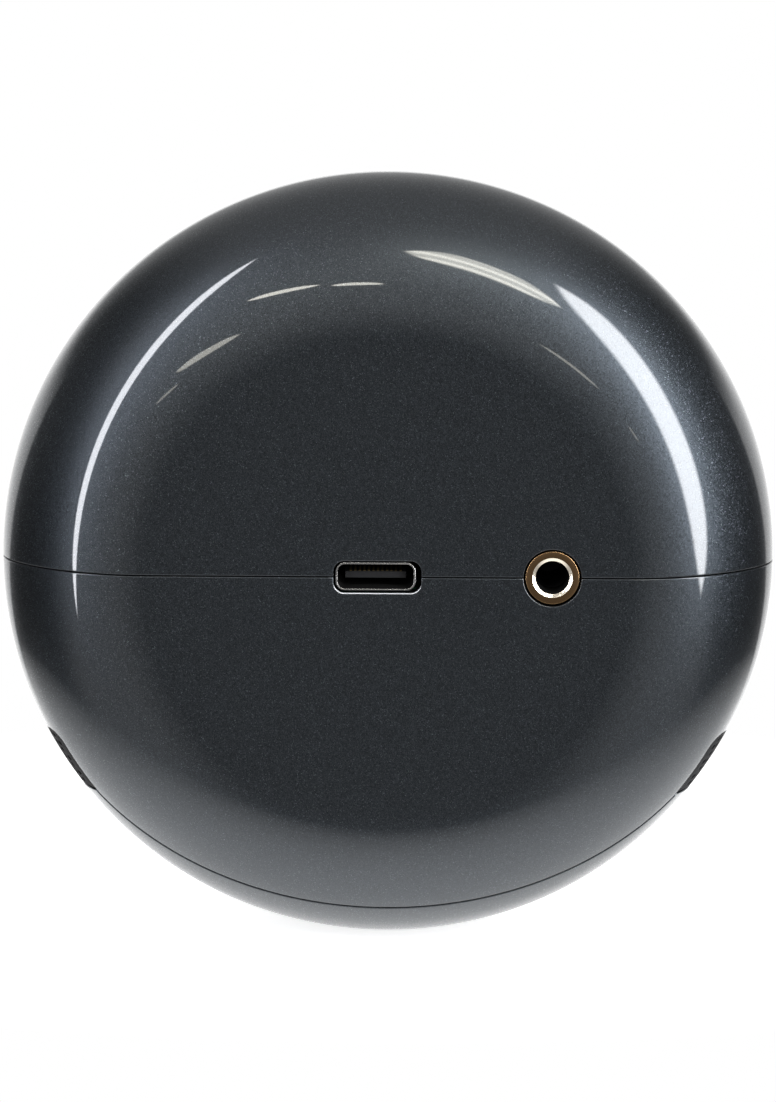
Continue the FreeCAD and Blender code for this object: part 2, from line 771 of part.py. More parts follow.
def chamber():
    """Cup behind the baffle, with two ducts and the two posts that hold the bottom cover."""
    cup = ring("chamber_cup", "0", "chamber_radius", BOSS_FRONT, "chamber_rear")
    room = ring("chamber_room", "0", "chamber_radius - chamber_wall", f"{BOSS_FRONT} + 1",
                "chamber_rear + chamber_wall")
    posts = [cylinder(f"cover_post_{side}", "post_radius", "16", f"{side} * cover_screw_side",
                      "cover_screw_depth", "-44", ALONG_Z) for side in (-1, 1)]
    trimmed = common("cover_posts", fuse("cover_post_pair", *posts), hollow_form)
    walls = ducts("duct_wall", "duct_width", "duct_depth", "duct_start", "duct_reach - duct_start")
    passages = ducts("duct_passage", "duct_width - 2 * duct_wall", "duct_depth - 2 * duct_wall",
                     "duct_start - 2", "duct_reach - duct_start + 3")
    body = fuse("chamber_body", cup, trimmed, *walls)
    holes = [cylinder(f"post_hole_{side}", "screw_shank", "12", f"{side} * cover_screw_side",
                      "cover_screw_depth", "-cover_screw_seat - 6", ALONG_Z) for side in (-1, 1)]
    leads = cylinder("lead_hole", "wire_hole", "4", "22", "-chamber_rear - 2", "-1")
    return cut("chamber_cut", body, room, leads, *passages, *holes)


def base_weight():
    """Steel crescent that lies on the bottom cover in front of its posts."""
    bed = cut("weight_bed", hollow_form, ring("weight_room", "0", "33", "40", "0"))
    keep = box("weight_keep", "40", "9.5", "30", "-20", "-20.5", "-50")
    return common("weight_form", bed, keep)


def baffle():
    """Front wall of the chamber, stepped forward outside to carry the light ring's board."""
    seat = "(led_board_front - led_board_sheet)"
    corners = [("baffle_bore", f"-{BOSS_FRONT}"), ("led_board_radius", f"-{BOSS_FRONT}"),
               ("led_board_radius", f"-{seat}"), ("led_board_bore", f"-{seat}"),
               ("led_board_bore", "-baffle_front"), ("baffle_bore", "-baffle_front")]
    plate = turned("baffle_plate", corners)
    holes = []
    for tag, angle in enumerate(TOP_BOSS_ANGLES + LOW_BOSS_ANGLES):
        place = (f"boss_reach * sin({angle})", "-26", f"boss_reach * cos({angle})")
        holes.append(cylinder(f"baffle_hole_{tag}", "screw_shank", "8", *place))
        holes.append(cylinder(f"baffle_sink_{tag}", "screw_head + 0.2", "2.8", *place))
    for tag, angle in enumerate(EAR_ANGLES):
        holes.append(cylinder(f"ear_hole_{tag}", "screw_shank", "8", f"ear_radius * sin({angle})", "-26",
                              f"ear_radius * cos({angle})"))
    return cut("baffle_cut", plate, *holes)


def y_screw(name, angle, reach, head_front, length):
    """A pan-head screw along Y; head_front is how far its head stands before the equator."""
    x = f"{reach} * sin({angle})"
    z = f"{reach} * cos({angle})"
    head = cylinder(f"{name}_head", "screw_head", "screw_head_height", x, f"-({head_front})", z)
    shank = cylinder(f"{name}_shank", "screw_shank", length, x, f"screw_head_height - ({head_front})", z)
    return fuse(name, head, shank)


EAR_ANGLES = ["20", "110", "200", "290"]
node("acoustic_chamber", chamber())
node("base_weight", base_weight())
node("baffle", baffle())
node("baffle_screws", group("baffle_screw_set", [
    y_screw(f"baffle_screw_{tag}", angle, "boss_reach", "24.3", "6")
    for tag, angle in enumerate(TOP_BOSS_ANGLES + LOW_BOSS_ANGLES)]))


# ---------------------------------------------------------------- driver

def basket():
    """Pressed frame with a flat flange, four ears and six windows in its cone."""
    front = "-flange_front"
    rear = "(flange_sheet - flange_front)"
    waist = "basket_throat + basket_sheet"
    corners = [("flange_radius", front), ("flange_radius", rear), ("basket_mouth + basket_sheet", rear),
               (waist, "-plate_front - 2.2"), (waist, "-plate_front"), ("basket_neck", "-plate_front"),
               ("basket_neck", "-plate_front - 1"), ("basket_throat", "-plate_front - 1"),
               ("basket_throat", "-plate_front - 2.8"), ("basket_mouth", "0.6 - flange_front"),
               ("basket_mouth", front)]
    shape = turned("basket_form", corners)
    ears = [cylinder(f"ear_{tag}", "2.4", "flange_sheet", f"ear_radius * sin({angle})", front,
                     f"ear_radius * cos({angle})") for tag, angle in enumerate(EAR_ANGLES)]
    room = ring("ear_room", "0", "basket_mouth", "30", "15")
    windows = [radial_box(f"basket_window_{index}", "8", "4", "12", f"{index} * 60", "15", "-21.6")
               for index in range(6)]
    holes = [cylinder(f"ear_bore_{tag}", "screw_shank", "8", f"ear_radius * sin({angle})", "-26",
                      f"ear_radius * cos({angle})") for tag, angle in enumerate(EAR_ANGLES)]
    return cut("basket_cut", fuse("basket_fuse", shape, cut("ears_cut", fuse("ears", *ears), room)),
               *windows, *holes)


def cone():
    neck = "coil_bore + coil_wall"
    inner = "cone_sheet - flange_front"
    corners = [(neck, "-cone_neck"), ("cone_land", "-flange_front"), ("cone_lip", "-flange_front"),
               ("cone_lip", inner), ("cone_land + 0.1", inner), (neck, "0.4 - cone_neck")]
    return turned("cone_form", corners)


def surround():
    """Half-roll of rubber between the cone's lip and the basket's flange."""
    land = "(-flange_front - roll_sheet)"
    bore = "(roll_radius - roll_sheet)"
    reach = "sqrt(roll_radius^2 - roll_sheet^2)"
    corners = [("cone_land", land), ("cone_land", "-flange_front"),
               (f"roll_centre - {bore}", "-flange_front"),
               ("roll_centre", f"-flange_front - {bore}"), (f"roll_centre + {bore}", "-flange_front"),
               ("25.2", "-flange_front"), ("25.2", land), (f"roll_centre + {reach}", land),
               ("roll_centre", "-flange_front - roll_radius"), (f"roll_centre - {reach}", land)]
    arcs = {2: (bore, -1), 3: (bore, -1), 7: ("roll_radius", 1), 8: ("roll_radius", 1)}
    return turned("surround_form", corners, arcs)


def dust_cap():
    """A thin dome glued to the cone near its neck."""
    outer = ("cap_radius", "cap_rise")
    inner = ("(cap_radius - 0.4)", "(cap_rise - 0.1)")
    crown = "21.2"
    corners = [("0", f"cone_sheet - {crown}"), ("0", f"-{crown}"), (outer[0], f"{outer[1]} - {crown}"),
               (inner[0], f"{inner[1]} + cone_sheet - {crown}")]
    return turned("dust_cap_form", corners, {1: (sphere(*outer), -1), 3: (sphere(*inner), 1)})


def spider():
    """Corrugated ring that centres the coil."""
    upper = []
    lower = []
    for step in range(9):
        radius = f"coil_bore + coil_wall + 0.1 + {step} * spider_pitch"
        wave = f"{step % 2} * spider_wave"
        upper.append((radius, f"-spider_rear - spider_sheet - {wave}"))
        lower.append((radius, f"-spider_rear - {wave}"))
    return turned("spider_form", upper + lower[::-1])


def yoke():
    corners = [("0", "-plate_front"), ("pole_radius", "-plate_front"), ("pole_radius", "-magnet_rear"),
               ("plate_radius", "-magnet_rear"), ("plate_radius", "-yoke_rear"), ("0", "-yoke_rear")]
    return turned("yoke_form", corners)


def tube_along(name, points, bend, radius):
    """A round wire along straight runs joined by tangent arcs; points are numbers in drum axes."""
    corners = [FreeCAD.Vector(*point) for point in points]
    edges = []
    start = corners[0]
    for before, corner, after in zip(corners, corners[1:], corners[2:]):
        come = (corner - before).normalize()
        leave = (after - corner).normalize()
        setback = bend * math.tan(come.getAngle(leave) / 2)
        arc_start = corner - come * setback
        arc_end = corner + leave * setback
        inward = (leave - come).normalize()
        reach = math.hypot(bend, setback)
        arc_middle = corner + inward * (reach - bend)
        edges.append(Part.LineSegment(start, arc_start).toShape())
        edges.append(Part.Arc(arc_start, arc_middle, arc_end).toShape())
        start = arc_end
    edges.append(Part.LineSegment(start, corners[-1]).toShape())
    path = Part.Wire(edges)
    heading = (corners[1] - corners[0]).normalize()
    section = Part.Wire(Part.Circle(corners[0], heading, radius).toShape())
    item = doc.addObject("Part::Feature", name)
    item.Shape = path.makePipeShell([section], True, True)
    drift = abs(item.Shape.Volume / (math.pi * radius**2 * path.Length) - 1)
    if drift > 0.01:
        raise RuntimeError(f"{name} has the wrong volume")
    return put(item, "0", "0", "0")


def speaker_wires():
    """Red and black leads from the power board, through the chamber's rear wall, to the driver."""
    board = number(BOARD_REAR)
    wires = []
    for tag, shift in (("upper", 0.75), ("lower", -0.75)):
        route = [(22 + shift, board, -7), (22 + shift, 1.4, -7), (22 + shift, 1.4, -1 + shift),
                 (22, -8.5, -1 + shift), (19.2, -11.5, -1 + shift), (19.2, -14.4, -1 + shift)]
        wires.append(tube_along(f"wire_{tag}", route, 1.1, 0.5))
    return group("wire_pair", wires)


node("speaker_wires", speaker_wires())
node("driver_terminals", centred_box("terminal_block", "3", "1.6", "7", "19.15", "-16", "-4.5"))
node("driver_basket", basket())
node("driver_gasket", ring("gasket_form", "baffle_bore", "flange_radius",
                           "flange_front - flange_sheet", "baffle_front"))
node("driver_screws", group("driver_screw_set", [
    y_screw(f"driver_screw_{tag}", angle, "ear_radius", "flange_front + 1.1", "4.6")
    for tag, angle in enumerate(EAR_ANGLES)]))
node("top_plate", ring("top_plate_form", "gap_radius", "plate_radius", "plate_front", "magnet_front"))
node("magnet", ring("magnet_form", "8.6", "magnet_radius", "magnet_front", "magnet_rear"))
node("pole_yoke", yoke())
node("cone", cone())
node("surround", surround())
node("dust_cap", dust_cap())
node("spider", spider())
node("coil_former", ring("former_form", "coil_bore", "coil_bore + coil_wall", "18.1", "11.2"))
node("voice_coil", ring("winding_form", "coil_bore + coil_wall", "coil_bore + coil_wall + winding",
                        "15.4", "11.4"))


# ---------------------------------------------------------------- front

def bezel():
    """Ring that carries on the barrel's taper, rounds over at the front and laps into the shells."""
    seam = "(front_plane + bezel_gap)"
    edge = barrel_radius("0", "bezel_front - 2.2")
    lip = barrel_radius("wall + 0.1", "front_plane + 0.5")
    corners = [("bezel_bore", "-bezel_front"), (f"{edge} - 2.2", "-bezel_front"),
               (edge, "2.2 - bezel_front"), (barrel_radius("0", seam), f"-{seam}"),
               (lip, f"-{seam}"), (lip, "1.6 - front_plane"), ("bezel_bore", "1.6 - front_plane")]
    return turned("bezel_form", corners, {1: ("2.2", 1)})


def dome(name, edge_depth, sheet_depth, bore_skirt=False):
    """A shallow domed sheet; the grille frame adds a skirt behind its rim."""
    curve = sphere("grille_radius", "grille_rise")
    rear = f"({sheet_depth}) - ({edge_depth})"
    corners = [("0", f"-({edge_depth}) - grille_rise"), ("grille_radius", f"-({edge_depth})")]
    arcs = {0: (curve, -1)}
    if bore_skirt:
        skirt_rise = f"({curve} - sqrt({curve}^2 - skirt_bore^2))"
        inner = f"({sheet_depth}) - ({edge_depth}) - grille_rise + {skirt_rise}"
        corners += [("grille_radius", "-skirt_rear"), ("skirt_bore", "-skirt_rear"), ("skirt_bore", inner)]
        arcs[4] = (curve, 1)
    else:
        corners += [("grille_radius", rear)]
        arcs[2] = (curve, 1)
    corners += [("0", f"({sheet_depth}) - ({edge_depth}) - grille_rise")]
    return turned(name, corners, arcs)


def grille_frame():
    """Moulded frame behind the fabric, pierced by rings of round holes."""
    plate = dome("grille_form", "grille_edge - fabric_sheet", "grille_sheet", True)
    holes = [cylinder("grille_hole", "slot_radius", "8", "0", "-35", "0")]
    for circle in range(1, 6):
        for step in range(6 * circle):
            angle = f"{step} * 60 / {circle}"
            reach = f"{circle} * slot_pitch"
            holes.append(cylinder("grille_hole", "slot_radius", "8", f"{reach} * sin({angle})", "-35",
                                  f"{reach} * cos({angle})"))
    return cut("grille_cut", plate, group("grille_holes", holes))


def leds():
    """Twelve lamps spaced evenly round the light ring's board."""
    return [radial_box("led", "2", "0.9", "led_size", f"{step} * 30 + 15", "35.1", "-led_board_front - 0.9")
            for step in range(12)]


node("front_bezel", bezel())
node("light_ring", ring("light_ring_form", "ring_bore", "bezel_bore - 0.05", "grille_edge", "26.6"))
node("grille_frame", grille_frame())
node("fabric_grille", dome("fabric_form", "grille_edge", "fabric_sheet"))
node("led_board", ring("led_board_form", "led_board_bore", "led_board_radius", "led_board_front",
                       "led_board_front - led_board_sheet"))
node("leds", group("led_set", leds()))


# ---------------------------------------------------------------- controls on top

BUTTON_LABELS = ["volume_down_button", "action_button", "microphone_button", "volume_up_button"]
SWITCH_TOP = "(flex_radius + flex_sheet + 1.45)"


def button(index, angle):
    """A cap cut from the barrel's own skin, with a retaining flange and a stem."""
    blank = radial_cylinder(f"button_blank_{index}", "button_radius", "8", angle, "body_radius - 6",
                            "-button_depth")
    cap = common(f"button_cap_{index}", skin_form, blank)
    stem = radial_cylinder(f"button_stem_{index}", "button_stem", "3", angle, f"{SWITCH_TOP} + 0.5",
                           "-button_depth")
    flange = radial_cylinder(f"button_flange_{index}", "button_flange", "0.5", angle, "38.3",
                             "-button_depth")
    return fuse(f"button_{index}", cap, stem, flange)


def flex_strip():
    band = ring("flex_band", "flex_radius", "flex_radius + flex_sheet", "button_depth + 6",
                "button_depth - 6")
    keep = box("flex_keep", "40", "30", "30", "-20", "-30", "20")
    return common("flex_common", band, keep)


def control_bracket():
    """Arch under the flexible board, with an end wall at each side that meets the top shell."""
    band = ring("arch_band", "flex_radius - 1.1", "flex_radius", "button_depth + 6", "button_depth - 5")
    keep = box("arch_keep", "44", "30", "40", "-22", "-30", "16")
    arch = common("arch", band, keep)
    feet = [radial_box(f"arch_foot_{tag}", "1.4", "11", "5.5", f"{side} * 36.5", "flex_radius - 0.9",
                       "-button_depth - 6") for tag, side in (("left", -1), ("right", 1))]
    return fuse("bracket", arch, common("arch_feet", hollow_form, fuse("arch_foot_pair", *feet)))


def switches():
    return [fuse("switch",
                 radial_box("switch_case", "3.4", "3.4", "0.9", angle, "flex_radius + flex_sheet",
                            "-button_depth - 1.7"),
                 radial_cylinder("switch_plunger", "0.9", "0.6", angle, f"{SWITCH_TOP} - 0.6",
                                 "-button_depth"))
            for angle in BUTTON_ANGLES]


for index, (label, angle) in enumerate(zip(BUTTON_LABELS, BUTTON_ANGLES)):
    node(label, button(index, angle))
node("tact_switches", group("switch_set", switches()))
node("control_flex", flex_strip())
node("control_bracket", control_bracket())
node("microphones", group("microphone_set", [
    radial_box("microphone", "3", "2.4", "1", angle, "flex_radius + flex_sheet", "-button_depth - 1.2")
    for angle in MIC_ANGLES]))


# ---------------------------------------------------------------- checks and export

doc.recompute()
for item in doc.Objects:
    faults = [state for state in item.State if state in ("Invalid", "Error")]
    if faults:
        raise RuntimeError(f"{item.Label} failed to build: {faults}")
for item in nodes:
    if item.Shape.isNull() or not item.Shape.isValid() or not item.Shape.Solids:
        raise RuntimeError(f"{item.Label} has no valid solid")

os.makedirs("parts", exist_ok=True)
for item in nodes:
    item.Shape.exportStep(f"parts/{item.Label}.step")
    print(f"{item.Label}: {len(item.Shape.Solids)} solid(s), {item.Shape.Volume:.1f} mm3")
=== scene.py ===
import json
import math

import bmesh
import bpy
import numpy as np
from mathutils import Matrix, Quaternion, Vector, geometry

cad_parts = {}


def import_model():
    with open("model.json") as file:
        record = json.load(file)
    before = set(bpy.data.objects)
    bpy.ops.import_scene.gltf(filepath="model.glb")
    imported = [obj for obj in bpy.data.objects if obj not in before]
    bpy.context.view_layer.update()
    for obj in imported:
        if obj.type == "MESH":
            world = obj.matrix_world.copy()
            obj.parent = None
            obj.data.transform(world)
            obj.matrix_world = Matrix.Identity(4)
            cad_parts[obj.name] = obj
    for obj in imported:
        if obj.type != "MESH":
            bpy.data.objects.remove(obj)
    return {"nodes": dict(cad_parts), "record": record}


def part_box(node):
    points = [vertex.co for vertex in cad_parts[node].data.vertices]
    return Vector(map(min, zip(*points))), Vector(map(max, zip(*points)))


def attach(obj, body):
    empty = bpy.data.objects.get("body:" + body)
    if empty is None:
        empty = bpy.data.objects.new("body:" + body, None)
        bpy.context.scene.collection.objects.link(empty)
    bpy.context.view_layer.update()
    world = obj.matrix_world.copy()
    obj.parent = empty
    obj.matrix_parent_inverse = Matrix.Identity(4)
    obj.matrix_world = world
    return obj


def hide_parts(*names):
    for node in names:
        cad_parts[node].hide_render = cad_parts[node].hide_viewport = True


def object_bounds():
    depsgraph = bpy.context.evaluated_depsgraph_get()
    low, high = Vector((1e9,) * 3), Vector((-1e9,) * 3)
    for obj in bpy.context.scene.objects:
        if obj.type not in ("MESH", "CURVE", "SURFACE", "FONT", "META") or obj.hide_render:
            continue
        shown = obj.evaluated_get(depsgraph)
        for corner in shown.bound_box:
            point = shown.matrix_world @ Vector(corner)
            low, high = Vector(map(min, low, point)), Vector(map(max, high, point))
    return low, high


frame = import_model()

# Round smart speaker seen from its flat back. Shapes are worked out in millimetres about the
# middle of the drum's widest circle, with +Y out of the flat back, as in the CAD model.

CAD_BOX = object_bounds()
MM = 0.001

# ---------------------------------------------------------------- sizes, in millimetres

BODY_RADIUS = (CAD_BOX[1].x - CAD_BOX[0].x) / 2 / MM
REAR_DEPTH = 13.0
FLAT_RADIUS = 26.5
SHOULDER_TURN = math.radians(50)
# the two shoulder arcs that lead from the flat back to the widest circle, as solved in the CAD source
BROAD_ARC = 19.289
TIGHT_ARC = 9.505
BARREL_ARC = 30.0
TAPER = math.radians(7.5)
FRONT_PLANE = 25.0
WALL = 2.0
SEAM_GAP = 0.1
EDGE = 0.14

COVER_TOP = 26.2
COVER_REAR = 8.5
COVER_ARC = 160.0
COVER_GAP = 0.12
VENT_TOP = 19.5
VENT_REAR = 5.2
VENT_FRONT = 15.0
VENT_CORNER = 1.5
VENT_CLEARANCE = 0.1
MESH_RECESS = 0.08
MESH_SHEET = 0.4
MESH_HOLE = 0.27
# along the vent and up it: how many holes, how far apart, and the first one's distance from the edge
MESH_COUNT = (22, 7)
MESH_PITCH = (0.84, 0.86)
MESH_START = (0.85, 0.65)

USB_X = 1.35
USB_OUT = (8.94, 3.26)
USB_CORNER = 1.1
USB_PLATE = 0.3
USB_CUT_X = 1.15
USB_CUT = (9.7, 3.6)
USB_CUT_CORNER = 1.2
JACK_X = -18.2
JACK_CUT = 3.2
JACK_RADIUS = 3.0
JACK_BORE = 1.8
# radius and depth below the collar's face, from the chamfer's outer edge to the bore
JACK_CHAMFER = ((2.24, 0.0), (1.86, 0.2), (JACK_BORE, 0.5))

BUTTONS = {"volume_down": -24, "action": -8, "microphone": 8, "volume_up": 24}
BUTTON_DEPTH = -13.0
BUTTON_RADIUS = 3.9
BUTTON_CLEARANCE = 0.3
MIC_ANGLES = (-16, 16)
MIC_RADIUS = 0.5

FRONT_STEP = 0.2
TRIM_BORE = 36.6
TRIM_SOCKET = 37.6
GUIDE_BORE = 35.1
GUIDE_RADIUS = 36.55
CLOTH_RIM = 0.8
# the knit's repeat across and along
WALE = 1.2
COURSE = 1.0

CENTRE = Vector((0, CAD_BOX[1].y - REAR_DEPTH * MM, CAD_BOX[1].z - BODY_RADIUS * MM))


# ---------------------------------------------------------------- the drum's outside

ENDS = np.cumsum([FLAT_RADIUS, BROAD_ARC * SHOULDER_TURN, TIGHT_ARC * (math.pi / 2 - SHOULDER_TURN),
                  BARREL_ARC * TAPER])


def profile(reach):
    """Radius, depth and lean of the outside, at a distance along the drum's section from its back's middle."""
    s = np.asarray(reach, float)
    zones = [s < ENDS[0], s < ENDS[1], s < ENDS[2], s < ENDS[3]]
    lean = np.select(zones, [0 * s, (s - ENDS[0]) / BROAD_ARC, SHOULDER_TURN + (s - ENDS[1]) / TIGHT_ARC,
                             math.pi / 2 + (s - ENDS[2]) / BARREL_ARC], math.pi / 2 + TAPER)
    rest = s - ENDS[3]
    sine, cosine = np.sin(lean), np.cos(lean)
    radius = np.select(zones, [s, FLAT_RADIUS + BROAD_ARC * sine, BODY_RADIUS - TIGHT_ARC * (1 - sine),
                               BODY_RADIUS - BARREL_ARC * (1 - sine)],
                       BODY_RADIUS - BARREL_ARC * (1 - math.cos(TAPER)) - rest * math.sin(TAPER))
    depth = np.select(zones, [REAR_DEPTH + 0 * s, REAR_DEPTH - BROAD_ARC * (1 - cosine), TIGHT_ARC * cosine,
                              BARREL_ARC * cosine],
                      -BARREL_ARC * math.sin(TAPER) - rest * math.cos(TAPER))
    return radius, depth, lean


TABLE_REACH = np.linspace(0, 90, 18001)
TABLE_RADIUS, TABLE_DEPTH, _ = profile(TABLE_REACH)


def reach_at_depth(depth):
    return np.interp(-np.asarray(depth, float), -TABLE_DEPTH, TABLE_REACH)


FRONT_REACH = float(reach_at_depth(-FRONT_PLANE))


def lift(flat, offset=0.0):
    """Points and normals on the drum for points of its flattened chart, seen from the back."""
    reach = np.hypot(flat[:, 0], flat[:, 1])
    turn = np.arctan2(flat[:, 1], flat[:, 0])
    radius, depth, lean = profile(reach)
    normal = np.stack([-np.sin(lean) * np.cos(turn), np.cos(lean), np.sin(lean) * np.sin(turn)], 1)
    point = np.stack([-radius * np.cos(turn), depth, radius * np.sin(turn)], 1)
    return point - offset * normal, normal


def flatten(point):
    """The chart's points for points on the drum's outside."""
    turn = np.arctan2(point[:, 2], -point[:, 0])
    key = np.hypot(point[:, 0], point[:, 2]) - point[:, 1]
    reach = np.interp(key, TABLE_RADIUS - TABLE_DEPTH, TABLE_REACH)
    return np.stack([reach * np.cos(turn), reach * np.sin(turn)], 1)


def chart(depth, height, side):
    """Chart points on one side of the drum, for a depth and a height; side 1 is the right seen from the back."""
    reach = reach_at_depth(depth)
    radius, _, _ = profile(reach)
    sine = np.asarray(height, float) / radius
    return np.stack([side * reach * np.sqrt(np.maximum(1 - sine**2, 0)), reach * sine], 1)


# ---------------------------------------------------------------- meshes

def turned_about(loop):
    """Twice the signed area of a closed loop."""
    x, y = loop[:, 0], loop[:, 1]
    return float(np.sum(x * np.roll(y, -1) - y * np.roll(x, -1)))


def wound(loop, sign):
    return loop if turned_about(loop) * sign > 0 else loop[::-1]


def inside(points, loops):
    """Which points lie inside the loops, holes left out."""
    hit = np.zeros(len(points), bool)
    for loop in loops:
        ends = np.roll(loop, -1, 0)
        for (ax, ay), (bx, by) in zip(loop, ends):
            if ay != by:
                crossing = (points[:, 1] > ay) != (points[:, 1] > by)
                hit ^= crossing & (points[:, 0] < (bx - ax) * (points[:, 1] - ay) / (by - ay) + ax)
    return hit


def clear_of(points, loops, gap):
    """Which points keep a distance from every loop."""
    keep = np.ones(len(points), bool)
    for loop in loops:
        for a, b in zip(loop, np.roll(loop, -1, 0)):
            near = keep & (np.abs(points[:, 0] - a[0]) < gap * 3) & (np.abs(points[:, 1] - a[1]) < gap * 3)
            spots = np.nonzero(near)[0]
            if len(spots):
                run = b - a
                share = np.clip((points[spots] - a) @ run / max(run @ run, 1e-12), 0, 1)
                keep[spots] = np.hypot(*(points[spots] - a - share[:, None] * run).T) > gap
    return keep


def resampled(path, pitch, closed=False):
    """Points along a path with no step longer than pitch; its own corners stay."""
    path = np.asarray(path, float)
    follow = np.roll(path, -1, 0) if closed else path[1:]
    out = []
    for a, b in zip(path, follow):
        count = max(1, math.ceil(np.hypot(*(b - a)) / pitch))
        out += [a + (b - a) * step / count for step in range(count)]
    if not closed:
        out.append(path[-1])
    return np.array(out)


def mesh_object(name, verts, faces, material, normals=None):
    """A mesh from millimetre points about the drum's centre."""
    mesh = bpy.data.meshes.new(name)
    mesh.from_pydata((np.asarray(verts, float) * MM + np.array(CENTRE)).tolist(), [], faces)
    mesh.polygons.foreach_set("use_smooth", np.ones(len(mesh.polygons), bool))
    if normals is not None:
        mesh.normals_split_custom_set(np.asarray(normals, float).tolist())
    mesh.update()
    piece = bpy.data.objects.new(name, mesh)
    bpy.context.scene.collection.objects.link(piece)
    mesh.materials.append(material)
    return piece


def grid_points(loops, pitch):
    """Rings of points about the chart's middle, spaced evenly on the drum itself."""
    low, high = loops[0].min(0), loops[0].max(0)
    far = max(np.hypot(*loops[0].T)) + pitch
    rings = []
    for index, reach in enumerate(np.arange(pitch / 2, far, pitch)):
        radius, _, _ = profile(reach)
        count = max(6, round(2 * math.pi * float(radius) / pitch))
        turn = (np.arange(count) + 0.5 * (index % 2)) * 2 * math.pi / count
        rings.append(np.stack([reach * np.cos(turn), reach * np.sin(turn)], 1))
    points = np.concatenate(rings)
    points = points[((points > low) & (points < high)).all(1)]
    points = points[inside(points, loops)]
    return points[clear_of(points, loops, pitch * 0.6)]


def skin(name, loops, material, pitch=0.85, edge=EDGE, wall=WALL, offset=0.0, steps=4):
    """A closed shell on the drum, bounded by chart loops, with its outer edges rounded over."""
    loops = [wound(np.asarray(loop, float), 1 if index == 0 else -1) for index, loop in enumerate(loops)]
    verts, rim_flat, rim_rings, rim_inner, walls = [], [], [], [], []
    vert_normals = []
    for loop in loops:
        point, normal = lift(loop, offset)
        ahead = np.roll(point, -1, 0) - point
        ahead /= np.linalg.norm(ahead, axis=1)[:, None]
        left_ahead = np.cross(normal, ahead)
        left_behind = np.cross(normal, np.roll(ahead, 1, 0))
        inward = left_ahead + left_behind
        inward /= np.maximum(1 + (left_ahead * left_behind).sum(1), 0.4)[:, None]
        unit = inward / np.linalg.norm(inward, axis=1)[:, None]
        rings = []
        for step in range(steps + 1):
            angle = step / steps * math.pi / 2
            ring = point + edge * (inward * (1 - math.sin(angle)) - normal * (1 - math.cos(angle)))
            rings.append(range(len(verts), len(verts) + len(ring)))
            verts += ring.tolist()
            vert_normals += (normal * math.cos(angle) - unit * math.sin(angle)).tolist()
            if step == 0:
                rim_flat.append(flatten(ring + offset * normal))
        rim_rings.append(rings)
        rim_inner.append(range(len(verts), len(verts) + len(point)))
        verts += (point - wall * normal).tolist()
        vert_normals += (-normal).tolist()
        walls.append(-unit)
    inner_points = grid_points(rim_flat, pitch)
    point, normal = lift(inner_points, offset)
    outer_at = len(verts)
    verts += point.tolist()
    vert_normals += normal.tolist()
    inner_at = len(verts)
    verts += (point - wall * normal).tolist()
    vert_normals += (-normal).tolist()

    flat = np.concatenate(rim_flat + [inner_points])
    edges, outer_index, inner_index, start = [], [], [], 0
    for rings, inner in zip(rim_rings, rim_inner):
        count = len(inner)
        edges += [(start + i, start + (i + 1) % count) for i in range(count)]
        outer_index += list(rings[0])
        inner_index += list(inner)
        start += count
    outer_index += range(outer_at, outer_at + len(inner_points))
    inner_index += range(inner_at, inner_at + len(inner_points))
    result = geometry.delaunay_2d_cdt([Vector(p) for p in flat.tolist()], edges, [], 0, 1e-6)
    origin = [source[0] if source else -1 for source in result[3]]
    triangles = np.array([[origin[v] for v in face] for face in result[2]])
    triangles = triangles[(triangles >= 0).all(1)]
    corners = flat[triangles]
    triangles = triangles[inside(corners.mean(1), rim_flat)]
    corners = flat[triangles]
    area = np.cross(corners[:, 1] - corners[:, 0], corners[:, 2] - corners[:, 0])
    triangles[area < 0] = triangles[area < 0][:, ::-1]

    vert_normals = np.array(vert_normals)
    faces, normals = [], []
    outer_index, inner_index = np.array(outer_index), np.array(inner_index)
    outer, inner = outer_index[triangles], inner_index[triangles][:, ::-1]
    faces += outer.tolist()
    normals.append(vert_normals[outer.ravel()])
    for rings, inner_ring, wall_normal in zip(rim_rings, rim_inner, walls):
        count = len(inner_ring)
        for upper, lower in zip(rings, rings[1:]):
            band = [(upper[(i + 1) % count], upper[i], lower[i], lower[(i + 1) % count]) for i in range(count)]
            faces += band
            normals.append(vert_normals[np.array(band).ravel()])
        last = rings[-1]
        faces += [(last[(i + 1) % count], last[i], inner_ring[i], inner_ring[(i + 1) % count])
                  for i in range(count)]
        order = np.array([((i + 1) % count, i, i, (i + 1) % count) for i in range(count)]).ravel()
        normals.append(wall_normal[order])
    faces += inner.tolist()
    normals.append(vert_normals[inner.ravel()])
    return mesh_object(name, verts, faces, material, np.concatenate(normals))


def softened(section, radius, steps=4):
    """A closed section with its corners rounded; radius may be one number or one per corner."""
    section = [Vector(p) for p in section]
    radii = radius if hasattr(radius, "__len__") else [radius] * len(section)
    out = []
    for index, corner in enumerate(section):
        come = section[index - 1] - corner
        leave = section[(index + 1) % len(section)] - corner
        half = come.angle(leave) / 2
        size = radii[index]
        if size <= 0 or half > math.radians(88):
            out.append(corner)
            continue
        setback = min(size / math.tan(half), come.length * 0.49, leave.length * 0.49)
        size = setback * math.tan(half)
        middle = corner + (come.normalized() + leave.normalized()).normalized() * size / math.sin(half)
        first = corner + come.normalized() * setback - middle
        last = corner + leave.normalized() * setback - middle
        begin = math.atan2(first.y, first.x)
        turn = (math.atan2(last.y, last.x) - begin + math.pi) % (2 * math.pi) - math.pi
        for step in range(steps + 1):
            angle = begin + turn * step / steps
            out.append(middle + size * Vector((math.cos(angle), math.sin(angle))))
    return out


